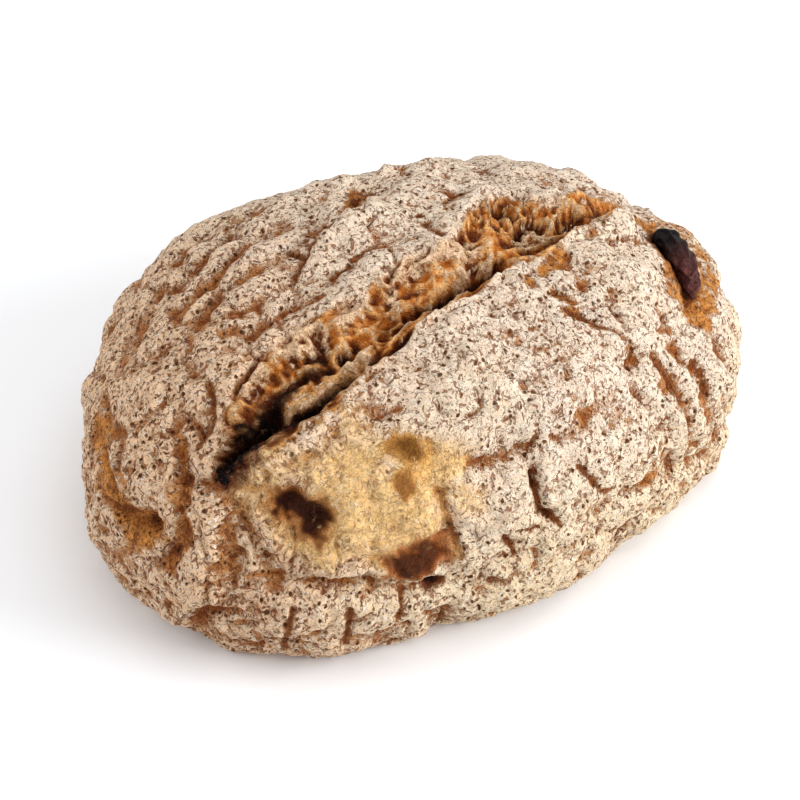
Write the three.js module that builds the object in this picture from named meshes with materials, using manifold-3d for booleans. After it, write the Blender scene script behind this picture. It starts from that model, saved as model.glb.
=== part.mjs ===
// A gluten-free sourdough loaf: a free-form oval loaf, torn open along its top, with one piece of
// dried fruit showing at its right end. Millimetres, +Z up. The loaf rests on z = 0, its long side
// lies along X, and the floured slab on the near side of the split faces -Y.

import * as THREE from 'three';
import Module from 'manifold-3d';

const wasm = await Module();
wasm.setup();

// ---- Size of the loaf before its relief ----

const CROWN_HEIGHT = 80;
const GIRTH_HEIGHT = 22; // where the loaf is widest
const TUCK = 9; // how far the foot pulls in under the girth
const MEAN_RADIUS = 80;
const PLAN_FULLNESS = 2.7; // exponents of the section from crown to girth: 2 is an ellipse
const RISE_FULLNESS = 2.2;
const PLAN_RADII = [95, 87, 78, 69, 68, 74, 85, 88, 94, 90, 79, 69, 68, 70, 80, 94]; // every 22.5 degrees
const MIDDLE = new THREE.Vector3(0, 0.2, 0); // middle of the finished outline, seen from above
const HEART_HEIGHT = 20; // the relief's outward direction is taken from this height on the axis

// ---- Relief ----
// A place on the crust is [bearing in degrees from +X, percent of the way from crown to foot].

const feature = (height, reach, ...path) => ({ height, reach, path });

const SWELLS = [
  feature(3.0, 44, [262, 38], [302, 38]), // the slab on the near side of the split
  feature(2.0, 30, [150, 14], [60, 10]), // the bank on the far side
  feature(4.2, 22, [233, 58], [238, 56]), // the pale lobe in front
  feature(3.2, 17, [220, 82], [240, 83]), // the foot under it
  feature(2.6, 10, [206, 60]), // two lobes on its left
  feature(2.8, 10, [205, 68], [207, 76]),
  feature(2.6, 15, [180, 50], [189, 58]), // the cheek above the left fold
  feature(2.0, 13, [186, 76], [197, 79]),
  feature(1.5, 20, [268, 84], [280, 82]),
  feature(3.4, 7, [110, 21]), // a lump in the far recess
  feature(3.6, 7, [66, 34], [53, 31]), // two bumps on the skyline
  feature(2.4, 7, [99, 35], [90, 33]),
  feature(3.0, 9, [352, 38]), // blocks at the right end
  feature(1.6, 11, [336, 40]),
  feature(1.2, 8, [245, 71]),
  feature(1.8, 14, [30, 64]), // lumps on the back
  feature(1.8, 15, [100, 62]),
  feature(1.8, 14, [140, 68]),
  feature(-1.8, 24, [335, 78]), // the outline pulls in and out
  feature(1.8, 17, [354, 56]),
  feature(-2.4, 17, [6, 46]),
  feature(-1.0, 18, [52, 40]),
  feature(2.0, 18, [121, 51]),
  feature(-2.7, 22, [141, 64]),
  feature(1.6, 16, [157, 69]),
  feature(-1.0, 15, [175, 80]),
  feature(-2.4, 12, [351, 46], [337, 51]), // the hollow that the dried fruit lies in
  feature(1.9, 5, [164, 37], [161, 32], [155, 29], [148, 26], [142, 23], [134, 21]), // far bank
  feature(1.6, 6, [147, 43]),
  feature(1.6, 6, [139, 40]),
  feature(2.0, 6, [142, 33]),
  feature(2.0, 6, [130, 31]),
  feature(1.4, 6, [170, 31], [165, 26]),
  feature(1.4, 7, [326, 27], [318, 33]), // lumps between the grooves of the right end
  feature(1.6, 8, [314, 44]),
  feature(1.4, 7, [338, 33], [332, 37], [326, 41]),
];

const CREASES = [
  feature(-3.0, 4.8, [191, 50], [194, 53], [196, 55], [199, 56], [205, 55], [209, 58]), // left side
  feature(-3.6, 5.0, [209, 58], [209, 63], [210, 67], [210, 72], [210, 78], [206, 84], [204, 92]),
  feature(-3.4, 7.0, [180, 56], [183, 62], [186, 65], [190, 67], [195, 68]),
  feature(-5.5, 4.8, [195, 68]),
  feature(-2.4, 4.4, [197, 57], [200, 61], [201, 66], [200, 74]),
  feature(-2.4, 3.8, [210, 55], [212, 60], [214, 65], [217, 70]), // round the pale lobe
  feature(-3.8, 5.2, [214, 72], [222, 72], [228, 73], [235, 75], [243, 78], [249, 78]),
  feature(-1.6, 3.6, [214, 48], [219, 48], [224, 46], [223, 44], [224, 41]),
  feature(-2.4, 7.0, [222, 55], [224, 58]),
  feature(-2.0, 4.0, [221, 52], [218, 55], [218, 59], [220, 63]),
  feature(-1.3, 5.0, [240, 47]),
  feature(-1.1, 4.5, [243, 54]),
  feature(-3.6, 4.4, [248, 78]),
  feature(-2.8, 5.5, [246, 50], [250, 58], [250, 65], [251, 71], [252, 78]),
  feature(-3.8, 8.0, [250, 86], [250, 96]),
  feature(-2.8, 3.8, [272, 54], [273, 58], [274, 67], [278, 71]), // under the slab
  feature(-2.0, 3.8, [263, 70], [267, 72], [275, 71]),
  feature(-2.0, 4.6, [254, 54], [260, 53], [272, 53], [279, 55], [287, 54], [295, 52]),
  feature(-2.0, 5.2, [332, 26], [323, 31], [313, 38]), // grooves across the right end
  feature(-2.1, 5.6, [323, 33], [319, 38], [311, 49], [309, 57]),
  feature(-2.1, 5.2, [309, 51], [308, 57], [309, 66], [310, 73], [312, 80]),
  feature(-2.3, 5.2, [316, 52], [316, 58], [317, 66], [317, 75], [317, 81]),
  feature(-2.3, 5.2, [327, 43], [326, 47], [322, 58], [322, 68], [322, 74]),
  feature(-2.2, 5.2, [331, 60], [332, 68], [331, 80]),
  feature(-2.0, 5.2, [352, 62], [353, 68], [351, 78]),
  feature(-2.0, 5.2, [10, 52], [11, 62], [8, 74]),
  feature(-1.4, 5.0, [312, 49]),
  feature(-1.2, 4.5, [303, 75]),
  feature(-2.4, 8.0, [298, 86], [298, 96]),
  feature(-3.8, 6.0, [104, 18], [90, 25], [76, 25]), // far side of the top
  feature(-2.0, 3.4, [180, 31]),
  feature(-1.8, 3.2, [182, 27]),
  feature(-1.6, 4.6, [172, 35], [165, 33], [160, 29], [156, 25], [151, 20]), // pleats along the far bank
  feature(-1.8, 5.2, [166, 44], [162, 40], [158, 35], [150, 31], [139, 28], [128, 26]),
  feature(-1.7, 5.0, [155, 44], [147, 38], [139, 36], [135, 35], [127, 36]),
  feature(-1.5, 5.8, [174, 52], [164, 51], [152, 46], [140, 44], [124, 44]),
  feature(-1.6, 3.6, [180, 31], [186, 29], [185, 26], [184, 23], [184, 20]),
  feature(-3.5, 10.0, [8, 20], [6, 26]), // the ragged crater and its holes
  feature(-3.0, 4.5, [12, 20]),
  feature(-3.0, 4.5, [2, 24]),
  feature(-2.5, 4.2, [14, 26]),
  feature(-3.0, 4.4, [356, 32]),
  feature(-2.4, 5.5, [320, 24], [333, 25]),
  feature(-2.5, 4.5, [324, 12]),
  feature(-3.5, 4.4, [206, 25]),
  feature(-3.5, 4.2, [217, 23]),
  feature(-2.2, 5.2, [60, 50], [66, 58], [64, 67], [70, 76]), // the back
  feature(-2.2, 5.2, [86, 46], [93, 56], [90, 66]),
  feature(-2.2, 5.2, [118, 52], [124, 60], [120, 70], [128, 78]),
  feature(-2.0, 5.2, [150, 58], [154, 66], [150, 76]),
  feature(-2.2, 5.2, [24, 48], [29, 58], [26, 68], [32, 78]),
  feature(-2.0, 5.2, [42, 42], [47, 53], [44, 62]),
  feature(-2.6, 8.0, [44, 86], [44, 96]),
  feature(-2.6, 8.0, [95, 86], [95, 96]),
  feature(-2.6, 8.0, [150, 86], [150, 96]),
];

// Folds that stand up on the left of their path, seen from outside.
const FOLDS = [
  feature(2.4, 9, [196, 66], [193, 65], [190, 64], [187, 63], [184, 61], [181, 56]),
  feature(3.0, 8, [42, 10], [64, 11], [83, 14], [104, 17], [123, 15], [140, 16], [151, 17], [170, 18]),
  feature(1.8, 10, [311, 49], [319, 38], [325, 31]),
];

// The torn strip of crust that bridges the split.
const STRIP = feature(4.0, 3.8, [207, 41], [211, 36], [217, 32], [222, 28], [229, 24]);

// The split, seen from above in a frame turned SPLIT_TURN degrees from +X:
// [along it, near edge, fissure, far edge, depth of the fissure].
const SPLIT_TURN = 11;
const SPLIT = [
  [-77, -16, -15, -13, 0],
  [-70, -19, -15.5, -11, 4.5],
  [-62, -22, -16, -6, 7.5],
  [-53, -24.5, -17.5, -3, 8],
  [-42, -26.5, -19.5, -3, 8],
  [-29, -26.5, -19.5, -4, 8],
  [-15, -25, -18.5, -3, 7.5],
  [0, -24.5, -18, -4, 8],
  [10, -24, -17, -3, 8.5],
  [22, -23, -15.5, 3, 8],
  [34, -21.5, -13, 6, 7],
  [44, -19.5, -12, -2, 5.5],
  [54, -19, -12.5, -6, 5],
  [62, -18, -13, -8, 3.5],
  [70, -14, -12, -10, 0],
];
const LIP_HEIGHT = 1.6; // the torn edges stand up
const LIP_REACH = 5;
const CRUMB_CELL = 6.5; // hollows in the torn crumb, longer along the split
const CRUMB_STRETCH = 0.62;
const CRUMB_WALL = 0.9;
const CRUMB_PIT = 0.9;

// Knobs of crust with shallow seams between them, and the slow unevenness of the whole.
const KNOBS = 300;
const KNOB_STEP = 0.35;
const SEAM_DEPTH = 0.75;
const SEAM_WIDTH = 4;
const WAVES = [[30, 0.8], [19, 0.55], [12, 0.35]]; // length, height
const WANDER = [[21, 0.9], [8, 0.3]]; // length and reach of the sideways wander of every feature

// ---- Mesh ----

const COARSE_EDGE = 3.6;
const FINE_MARGIN = 4; // the mesh is twice as fine in the split and this far round it
const FINE_FRONT = { at: [224, 66], reach: 25 }; // and round the folds in front

// ---- Dried fruit ----

const FRUIT_PATH = [[352.5, 46], [349, 48], [344.5, 49.5], [340, 50.5], [335, 51.5]];
const FRUIT_HALF_WIDTHS = [5.4, 5.2, 4.4, 3.4, 2.6];
const FRUIT_FLATNESS = 0.72; // thickness over width
const FRUIT_SINK = 0.6; // its middle lies this far under the crust's own line
const FRUIT_WRINKLE = 0.07;
const FRUIT_RINGS = 18;
const FRUIT_SIDES = 16;
const SEAT_GAP = 0.3;

// ---- Small functions of one number ----

const clamp = THREE.MathUtils.clamp;
const radians = THREE.MathUtils.degToRad;
const GOLDEN_ANGLE = 137.50776;

function smooth(from, to, x) {
  const t = clamp((x - from) / (to - from), 0, 1);
  return t * t * (3 - 2 * t);
}

// A round hill, 1 in the middle and 0 from 1 outwards.
function hill(x) {
  const t = clamp(Math.abs(x), 0, 1);
  return (1 - t * t) ** 2;
}

// A crease: a hill with a sharp bottom.
function crease(x) {
  const t = clamp(Math.abs(x), 0, 1);
  return 0.5 * (1 - t) ** 2 * (1 + 0.5 * t) + 0.5 * hill(x);
}

// Value at x of a table whose rows start with a rising x.
function fromTable(table, column, x) {
  const last = table.length - 1;
  if (x <= table[0][0]) return table[0][column];
  for (let k = 0; k < last; k++) {
    const [a, b] = [table[k], table[k + 1]];
    if (x <= b[0]) return a[column] + (b[column] - a[column]) * (x - a[0]) / (b[0] - a[0]);
  }
  return table[last][column];
}

// ---- The crust before its relief ----

function radiusAt(bearing) {
  const count = PLAN_RADII.length;
  const t = bearing / 360 * count;
  const i = Math.floor(t);
  const f = t - i;
  const [a, b, c, d] = [-1, 0, 1, 2].map((k) => PLAN_RADII[(i + k + count) % count]);
  return b + 0.5 * f * (c - a + f * (2 * a - 5 * b + 4 * c - d + f * (3 * (b - c) + d - a)));
}

// quarters 0..1 run from crown to girth and 1..2 from girth to foot.
function section(radius, quarters) {
  const rise = clamp(quarters, 0, 1) * Math.PI / 2;
  const tuck = clamp(quarters - 1, 0, 1) * Math.PI / 2;
  if (quarters <= 1) {
    const fall = Math.max(Math.cos(rise), 0) ** (2 / RISE_FULLNESS);
    return [radius * Math.sin(rise) ** (2 / PLAN_FULLNESS), GIRTH_HEIGHT + (CROWN_HEIGHT - GIRTH_HEIGHT) * fall];
  }
  return [radius - TUCK * (1 - Math.cos(tuck)), GIRTH_HEIGHT * (1 - Math.sin(tuck))];
}

// Share of the mean section's length at even steps, so that a share can be turned into quarters.
function measureSection(steps = 4000) {
  const rows = [[0, 0]];
  let [r, z] = section(MEAN_RADIUS, 0);
  for (let k = 1; k <= steps; k++) {
    const quarters = 2 * (k / steps) ** 2;
    const [r2, z2] = section(MEAN_RADIUS, quarters);
    rows.push([rows[k - 1][0] + Math.hypot(r2 - r, z2 - z), quarters]);
    [r, z] = [r2, z2];
  }
  return rows;
}

const SECTION_ROWS = measureSection();
const SECTION_LENGTH = SECTION_ROWS.at(-1)[0];

function quartersAt(share) {
  const length = share * SECTION_LENGTH;
  let [low, high] = [0, SECTION_ROWS.length - 1];
  while (high - low > 1) {
    const middle = (low + high) >> 1;
    if (SECTION_ROWS[middle][0] > length) high = middle;
    else low = middle;
  }
  const [a, b] = [SECTION_ROWS[low], SECTION_ROWS[high]];
  return a[1] + (b[1] - a[1]) * clamp((length - a[0]) / (b[0] - a[0]), 0, 1);
}

function crustPoint(bearing, share) {
  const [r, z] = section(radiusAt(bearing), quartersAt(share));
  return new THREE.Vector3(r * Math.cos(radians(bearing)), r * Math.sin(radians(bearing)), z);
}

const placePoint = ([bearing, percent]) => crustPoint(bearing, percent / 100);

// The crust is laid out on a disc: the distance from its middle is the share.
function discPoint(x, y) {
  const bearing = (THREE.MathUtils.radToDeg(Math.atan2(y, x)) + 360) % 360;
  return crustPoint(bearing, Math.min(Math.hypot(x, y), 1));
}

function discNormal(x, y, step = 0.003) {
  const inward = Math.min(1, (1 - 1.5 * step) / Math.max(Math.hypot(x, y), 1e-9));
  const [u, v] = [x * inward, y * inward];
  const across = discPoint(u + step, v).sub(discPoint(u - step, v));
  const along = discPoint(u, v + step).sub(discPoint(u, v - step));
  return across.cross(along).normalize();
}

// ---- Relief ----

function pathOf(item) {
  const points = item.path.map(placePoint);
  const starts = [0];
  const lefts = [];
  for (let k = 0; k + 1 < points.length; k++) {
    const step = points[k + 1].clone().sub(points[k]);
    const outward = points[k].clone().add(points[k + 1]).multiplyScalar(0.5);
    outward.z -= HEART_HEIGHT;
    starts.push(starts[k] + step.length());
    lefts.push(outward.normalize().cross(step.normalize()));
  }
  return { ...item, points, starts, lefts };
}

// Distance to a path, the share of its length at the nearest point, and which side of it.
function nearest(point, { points, starts, lefts }) {
  if (points.length === 1) return { distance: point.distanceTo(points[0]), along: 0.5, side: 1 };
  const found = { distance: Infinity, along: 0, side: 0 };
  for (let k = 0; k < lefts.length; k++) {
    const step = points[k + 1].clone().sub(points[k]);
    const t = clamp(point.clone().sub(points[k]).dot(step) / step.lengthSq(), 0, 1);
    const offset = point.clone().sub(points[k]).addScaledVector(step, -t);
    if (offset.length() < found.distance) {
      found.distance = offset.length();
      found.along = (starts[k] + t * step.length()) / starts.at(-1);
      found.side = offset.dot(lefts[k]);
    }
  }
  return found;
}

// Directions spread evenly over a sphere.
function spread(k) {
  const turn = radians(GOLDEN_ANGLE) * k;
  const rise = 0.9 * Math.cos(1.7 * k);
  const flat = Math.sqrt(1 - rise * rise);
  return new THREE.Vector3(flat * Math.cos(turn), flat * Math.sin(turn), rise);
}

function wander(point) {
  const moved = point.clone();
  WANDER.forEach(([length, reach], k) => {
    ['x', 'y', 'z'].forEach((axis, n) => {
      const m = 6 * k + 2 * n + 11;
      const slow = 2 * Math.sin(2 * Math.PI / (1.7 * length) * point.dot(spread(m + 1)));
      moved[axis] += reach * Math.sin(2 * Math.PI / length * point.dot(spread(m)) + slow);
    });
  });
  return moved;
}

function unevenness(point) {
  let sum = 0;
  WAVES.forEach(([length, height], k) => {
    for (let j = 4 * k; j < 4 * k + 4; j++) {
      sum += height / 2 * Math.sin(2 * Math.PI / length * point.dot(spread(j)) + 1.3 * j);
    }
  });
  return sum;
}

// Repeatable number from 0 to 1 for a cell of a grid.
function scatter(i, j, k) {
  return Math.abs(Math.sin(i * 127.1 + j * 311.7 + k * 74.7) * 43758.5453) % 1;
}

// Distances to the two nearest points of an uneven grid.
function twoNearestInGrid(x, y, size) {
  let [first, second] = [Infinity, Infinity];
  for (let di = -1; di <= 1; di++) {
    for (let dj = -1; dj <= 1; dj++) {
      const i = Math.floor(x / size) + di;
      const j = Math.floor(y / size) + dj;
      const dx = x - (i + 0.15 + 0.7 * scatter(i, j, 1)) * size;
      const dy = y - (j + 0.15 + 0.7 * scatter(i, j, 2)) * size;
      const distance = Math.hypot(dx, dy);
      if (distance < first) [first, second] = [distance, first];
      else second = Math.min(second, distance);
    }
  }
  return [first, second];
}

function splitFrame(point) {
  const [cos, sin] = [Math.cos(radians(SPLIT_TURN)), Math.sin(radians(SPLIT_TURN))];
  const along = point.x * cos + point.y * sin;
  const across = point.y * cos - point.x * sin;
  const [near, fissure, far, table] = [1, 2, 3, 4].map((column) => fromTable(SPLIT, column, along));
  const onTop = smooth(GIRTH_HEIGHT, GIRTH_HEIGHT + 12, point.z);
  return { along, across, near, fissure, far, depth: table * onTop };
}

// The floor climbs slowly to the far edge and steeply to the near one.
function splitRelief(point) {
  const { along, across, near, fissure, far, depth } = splitFrame(point);
  const onFar = across > fissure;
  const x = (across - fissure) / (onFar ? far - fissure : fissure - near);
  const slope = onFar ? 0.4 * smooth(0, 0.25, x) + 0.6 * smooth(0.15, 1, x) : smooth(0.05, 1, -x);
  const beyond = onFar ? across - far : near - across;
  const lip = LIP_HEIGHT * Math.min(1, depth / 5) * hill((beyond - 1.2) / LIP_REACH);
  const inside = (1 - smooth(0.86, 1.06, Math.abs(x))) * Math.min(1, depth / 3);
  const [first, second] = twoNearestInGrid(along * CRUMB_STRETCH, across, CRUMB_CELL);
  const walls = CRUMB_WALL * (1 - smooth(0, 2.4, second - first));
  const pits = CRUMB_PIT * hill(first / (0.62 * CRUMB_CELL));
  return { inside, height: lip - depth * (1 - slope) + inside * (walls - pits) };
}

function knobMiddles() {
  const middles = [];
  for (let n = 0; n < KNOBS; n++) {
    const k = n + 0.5;
    const bearing = ((k * GOLDEN_ANGLE + 20 * Math.sin(1.9 * k)) % 360 + 360) % 360;
    const share = clamp(0.995 * Math.sqrt(k / KNOBS) + 0.022 * Math.sin(7.3 * k), 0, 0.99);
    middles.push(crustPoint(bearing, share));
  }
  return middles;
}

const KNOB_MIDDLES = knobMiddles();
const SWELL_PATHS = SWELLS.map(pathOf);
const CREASE_PATHS = CREASES.map(pathOf);
const FOLD_PATHS = FOLDS.map(pathOf);
const STRIP_PATH = pathOf(STRIP);

function knobRelief(point) {
  let [first, second, knob] = [Infinity, Infinity, 0];
  KNOB_MIDDLES.forEach((middle, k) => {
    const distance = point.distanceTo(middle);
    if (distance < first) [first, second, knob] = [distance, first, k];
    else second = Math.min(second, distance);
  });
  const seam = 1 - smooth(0, SEAM_WIDTH, second - first);
  const lower = 0.35 + 0.65 * (1 - smooth(45, 70, point.z)); // seams are shallow on the floured top
  return KNOB_STEP * Math.sin(2.7 * knob) * (1 - seam) - SEAM_DEPTH * seam * lower;
}

// Fades a feature out towards the ends of its path.
const fade = (along, start) => Math.min(1, start + 5 * Math.min(along, 1 - along));

function relief(crust) {
  const point = wander(crust);
  let height = unevenness(point);
  for (const item of SWELL_PATHS) {
    height += item.height * hill(nearest(point, item).distance / item.reach);
  }
  for (const item of CREASE_PATHS) {
    const { distance, along } = nearest(point, item);
    const ends = item.points.length > 1 ? fade(along, 0.35) : 1;
    height += item.height * ends * crease(distance / item.reach);
  }
  for (const item of FOLD_PATHS) {
    const { distance, along, side } = nearest(point, item);
    const ends = smooth(0, 0.3, Math.min(along, 1 - along));
    height += item.height * ends * hill(distance / (side > 0 ? item.reach : 1.5));
  }
  const strip = nearest(point, STRIP_PATH);
  height += STRIP.height * fade(strip.along, 0.3) * hill(strip.distance / STRIP.reach);
  const split = splitRelief(point);
  return height + split.height + (1 - split.inside) * knobRelief(point);
}

// A point of the finished surface. Towards the foot the relief turns level, and the foot stays flat.
function surfacePoint(x, y) {
  const crust = discPoint(x, y);
  const normal = discNormal(x, y);
  const level = new THREE.Vector3(normal.x, normal.y, 0).normalize();
  const way = level.lerp(normal, smooth(0, GIRTH_HEIGHT, crust.z));
  const point = crust.clone().addScaledVector(way, relief(crust));
  point.z = crust.z < 0.01 ? 0 : Math.max(point.z, 0.02);
  return point.sub(MIDDLE);
}

// ---- Mesh of the loaf ----

// Rings from the crown to the foot, each with as many points as its length asks for.
function layRings() {
  const ringCount = Math.round(SECTION_LENGTH / COARSE_EDGE);
  const rings = [[[0, 0]]];
  for (let k = 1; k <= ringCount; k++) {
    const share = k / ringCount;
    const [radius] = section(MEAN_RADIUS, quartersAt(share));
    const count = Math.max(6, Math.round(2 * Math.PI * radius / COARSE_EDGE));
    const ring = [];
    for (let j = 0; j < count; j++) {
      const turn = (j + 0.5 * (k % 2)) / count * 2 * Math.PI;
      ring.push([share * Math.cos(turn), share * Math.sin(turn)]);
    }
    rings.push(ring);
  }
  return rings;
}

// Triangles between two rings, walking round both in step.
function zip(inner, outer, innerStart, outerStart, faces) {
  let [i, j] = [0, 0];
  while (i < inner.length || j < outer.length) {
    const [a, b] = [innerStart + i % inner.length, outerStart + j % outer.length];
    const outerNext = (j + 1) / outer.length <= (i + 1) / inner.length;
    if (inner.length === 1 || (j < outer.length && (outerNext || i === inner.length))) {
      if (j === outer.length) break;
      faces.push([a, b, outerStart + (j + 1) % outer.length]);
      j++;
    } else {
      faces.push([a, b, innerStart + (i + 1) % inner.length]);
      i++;
    }
  }
}

function needsFine(x, y) {
  const point = discPoint(x, y);
  const { across, near, far, depth } = splitFrame(point);
  if (depth > 0.5 && across > near - FINE_MARGIN && across < far + FINE_MARGIN) return true;
  return point.distanceTo(placePoint(FINE_FRONT.at)) < FINE_FRONT.reach;
}

// Halves the edges in the fine zones, and the triangles with them.
function refine(points, faces) {
  const middles = new Map();
  const middleOf = (a, b) => {
    const key = a < b ? `${a} ${b}` : `${b} ${a}`;
    if (!middles.has(key)) {
      const [x, y] = [(points[a][0] + points[b][0]) / 2, (points[a][1] + points[b][1]) / 2];
      middles.set(key, needsFine(x, y) ? points.push([x, y]) - 1 : -1);
    }
    return middles.get(key);
  };
  const finer = [];
  for (const face of faces) {
    let corners = face;
    let mids = face.map((a, k) => middleOf(a, face[(k + 1) % 3]));
    const count = mids.filter((m) => m >= 0).length;
    const first = count === 2 ? mids.findIndex((m) => m < 0) + 1 : Math.max(0, mids.findIndex((m) => m >= 0));
    const turn = (list) => [0, 1, 2].map((k) => list[(k + first) % 3]);
    corners = turn(corners);
    mids = turn(mids);
    const [a, b, c] = corners;
    const [ab, bc, ca] = mids;
    if (count === 0) finer.push([a, b, c]);
    if (count === 1) finer.push([a, ab, c], [ab, b, c]);
    if (count === 2) finer.push([ab, b, bc], [a, ab, bc], [a, bc, c]);
    if (count === 3) finer.push([a, ab, ca], [ab, b, bc], [ca, bc, c], [ab, bc, ca]);
  }
  return finer;
}

function loafSolid() {
  const rings = layRings();
  const points = rings.flat();
  const faces = [];
  let start = 0;
  for (let k = 0; k + 1 < rings.length; k++) {
    zip(rings[k], rings[k + 1], start, start + rings[k].length, faces);
    start += rings[k].length;
  }
  const finer = refine(points, faces);
  const foot = rings.at(-1).map((_, j) => start + j);
  const vertices = points.map(([x, y]) => surfacePoint(x, y));
  const under = vertices.push(new THREE.Vector3(0, 0, 0)) - 1;
  foot.forEach((a, j) => finer.push([a, under, foot[(j + 1) % foot.length]]));
  return solidOf(vertices, finer);
}

// ---- Dried fruit ----

// A tapering, wrinkled body along its path; grow makes the seat that it lies in.
function fruitSolid(grow) {
  const path = FRUIT_PATH.map(([bearing, percent]) => {
    const share = percent / 100;
    const turn = radians(bearing);
    const normal = discNormal(share * Math.cos(turn), share * Math.sin(turn));
    return { point: crustPoint(bearing, share).addScaledVector(normal, -FRUIT_SINK).sub(MIDDLE), normal };
  });
  const curve = new THREE.CatmullRomCurve3(path.map(({ point }) => point));
  const widths = FRUIT_HALF_WIDTHS.map((width, k) => [k / (FRUIT_HALF_WIDTHS.length - 1), width]);
  const normal = path.reduce((sum, item) => sum.add(item.normal), new THREE.Vector3()).normalize();
  const vertices = [];
  const faces = [];
  for (let k = 1; k < FRUIT_RINGS; k++) {
    const along = k / FRUIT_RINGS;
    const end = Math.sqrt(1 - Math.abs(2 * along - 1) ** 3);
    const tangent = curve.getTangent(along);
    const across = tangent.clone().cross(normal).normalize();
    const up = across.clone().cross(tangent);
    for (let j = 0; j < FRUIT_SIDES; j++) {
      const turn = j / FRUIT_SIDES * 2 * Math.PI;
      const wrinkle = 1 + FRUIT_WRINKLE * (Math.sin(3 * turn + 7 * along) + Math.sin(5 * turn - 19 * along)) / 2;
      const width = fromTable(widths, 1, along) * end * wrinkle + grow;
      const thick = fromTable(widths, 1, along) * FRUIT_FLATNESS * end * wrinkle + grow;
      const point = curve.getPoint(along).addScaledVector(across, width * Math.cos(turn));
      vertices.push(point.addScaledVector(up, thick * Math.sin(turn)));
    }
  }
  for (let k = 0; k + 2 < FRUIT_RINGS; k++) {
    for (let j = 0; j < FRUIT_SIDES; j++) {
      const [a, b] = [k * FRUIT_SIDES + j, k * FRUIT_SIDES + (j + 1) % FRUIT_SIDES];
      faces.push([a, a + FRUIT_SIDES, b], [b, a + FRUIT_SIDES, b + FRUIT_SIDES]);
    }
  }
  const closeEnd = (along, ring, forward) => {
    const tip = vertices.push(curve.getPoint(along).addScaledVector(curve.getTangent(along), forward * grow)) - 1;
    for (let j = 0; j < FRUIT_SIDES; j++) {
      const [a, b] = [ring + j, ring + (j + 1) % FRUIT_SIDES];
      faces.push(forward > 0 ? [a, tip, b] : [a, b, tip]);
    }
  };
  closeEnd(0, 0, -1);
  closeEnd(1, (FRUIT_RINGS - 2) * FRUIT_SIDES, 1);
  return solidOf(vertices, faces);
}

// ---- Solids and meshes ----

function solidOf(vertices, faces) {
  const vertProperties = new Float32Array(vertices.flatMap(({ x, y, z }) => [x, y, z]));
  return new wasm.Manifold(new wasm.Mesh({ numProp: 3, vertProperties, triVerts: new Uint32Array(faces.flat()) }));
}

function meshOf(name, solid, look) {
  const { vertProperties, triVerts } = solid.getMesh();
  const geometry = new THREE.BufferGeometry();
  geometry.setAttribute('position', new THREE.BufferAttribute(vertProperties, 3));
  geometry.setIndex(new THREE.BufferAttribute(triVerts, 1));
  geometry.computeVertexNormals();
  const mesh = new THREE.Mesh(geometry, new THREE.MeshStandardMaterial(look));
  mesh.name = name;
  return mesh;
}

const seat = fruitSolid(SEAT_GAP);
const group = new THREE.Group();
group.add(meshOf('loaf', loafSolid().subtract(seat), { color: 0xc9b6a0, roughness: 0.9, metalness: 0 }));
group.add(meshOf('dried_fruit', fruitSolid(0), { color: 0x2a1416, roughness: 0.5, metalness: 0 }));

export default group;
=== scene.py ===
"""Looks of the gluten-free sourdough loaf: fine relief, floured crust, torn crumb and dried fruit.

The surface is the one of the CAD model, worked out again from the same named values in millimetres
with a finer mesh and finer relief. Blender's lengths are metres.
"""

import math

import bpy
import numpy as np
from mathutils import Matrix, Vector


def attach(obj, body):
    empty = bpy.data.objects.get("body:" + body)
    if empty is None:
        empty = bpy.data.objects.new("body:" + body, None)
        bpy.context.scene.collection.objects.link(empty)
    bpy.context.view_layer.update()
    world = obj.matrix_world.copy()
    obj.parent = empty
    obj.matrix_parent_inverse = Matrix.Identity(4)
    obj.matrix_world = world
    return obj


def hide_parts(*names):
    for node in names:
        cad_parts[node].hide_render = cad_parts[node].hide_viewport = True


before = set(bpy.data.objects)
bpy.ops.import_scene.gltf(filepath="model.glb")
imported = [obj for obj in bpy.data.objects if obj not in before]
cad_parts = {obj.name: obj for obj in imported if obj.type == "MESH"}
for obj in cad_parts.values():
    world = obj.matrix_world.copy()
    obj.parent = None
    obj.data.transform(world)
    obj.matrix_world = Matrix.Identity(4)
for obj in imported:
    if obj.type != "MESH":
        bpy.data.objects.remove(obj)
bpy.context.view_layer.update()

MM = 0.001

# ---- Camera, light and floor ----

CAMERA_AZIMUTH = -28.0
CAMERA_ELEVATION = 46.0
CAMERA_DISTANCE = 0.670
CAMERA_TARGET = (-0.0014, 0.0007, 0.0249)
CAMERA_LENS = 109.1
LIGHTS = (  # name, azimuth, elevation, distance and width in metres, watts
    ("key", 48, 27, 0.9, 0.50, 4.8),
    ("top", 60, 78, 1.2, 0.8, 2.1),
    ("fill", -115, 34, 1.1, 0.9, 2.4),
)
SKY_STRENGTH = 0.62
FLOOR_REACH = 2000.0  # mm to each side

# ---- Size of the loaf before its relief (mm) ----

CROWN_HEIGHT = 80.0
GIRTH_HEIGHT = 22.0
TUCK = 9.0
MEAN_RADIUS = 80.0
PLAN_FULLNESS = 2.7
RISE_FULLNESS = 2.2
PLAN_RADII = (95, 87, 78, 69, 68, 74, 85, 88, 94, 90, 79, 69, 68, 70, 80, 94)
MIDDLE = np.array((0.0, 0.2, 0.0))
HEART_HEIGHT = 20.0
GOLDEN_ANGLE = 137.50776

# ---- Relief: (height, reach, path); a place is (bearing in degrees, percent from crown to foot) ----

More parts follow.
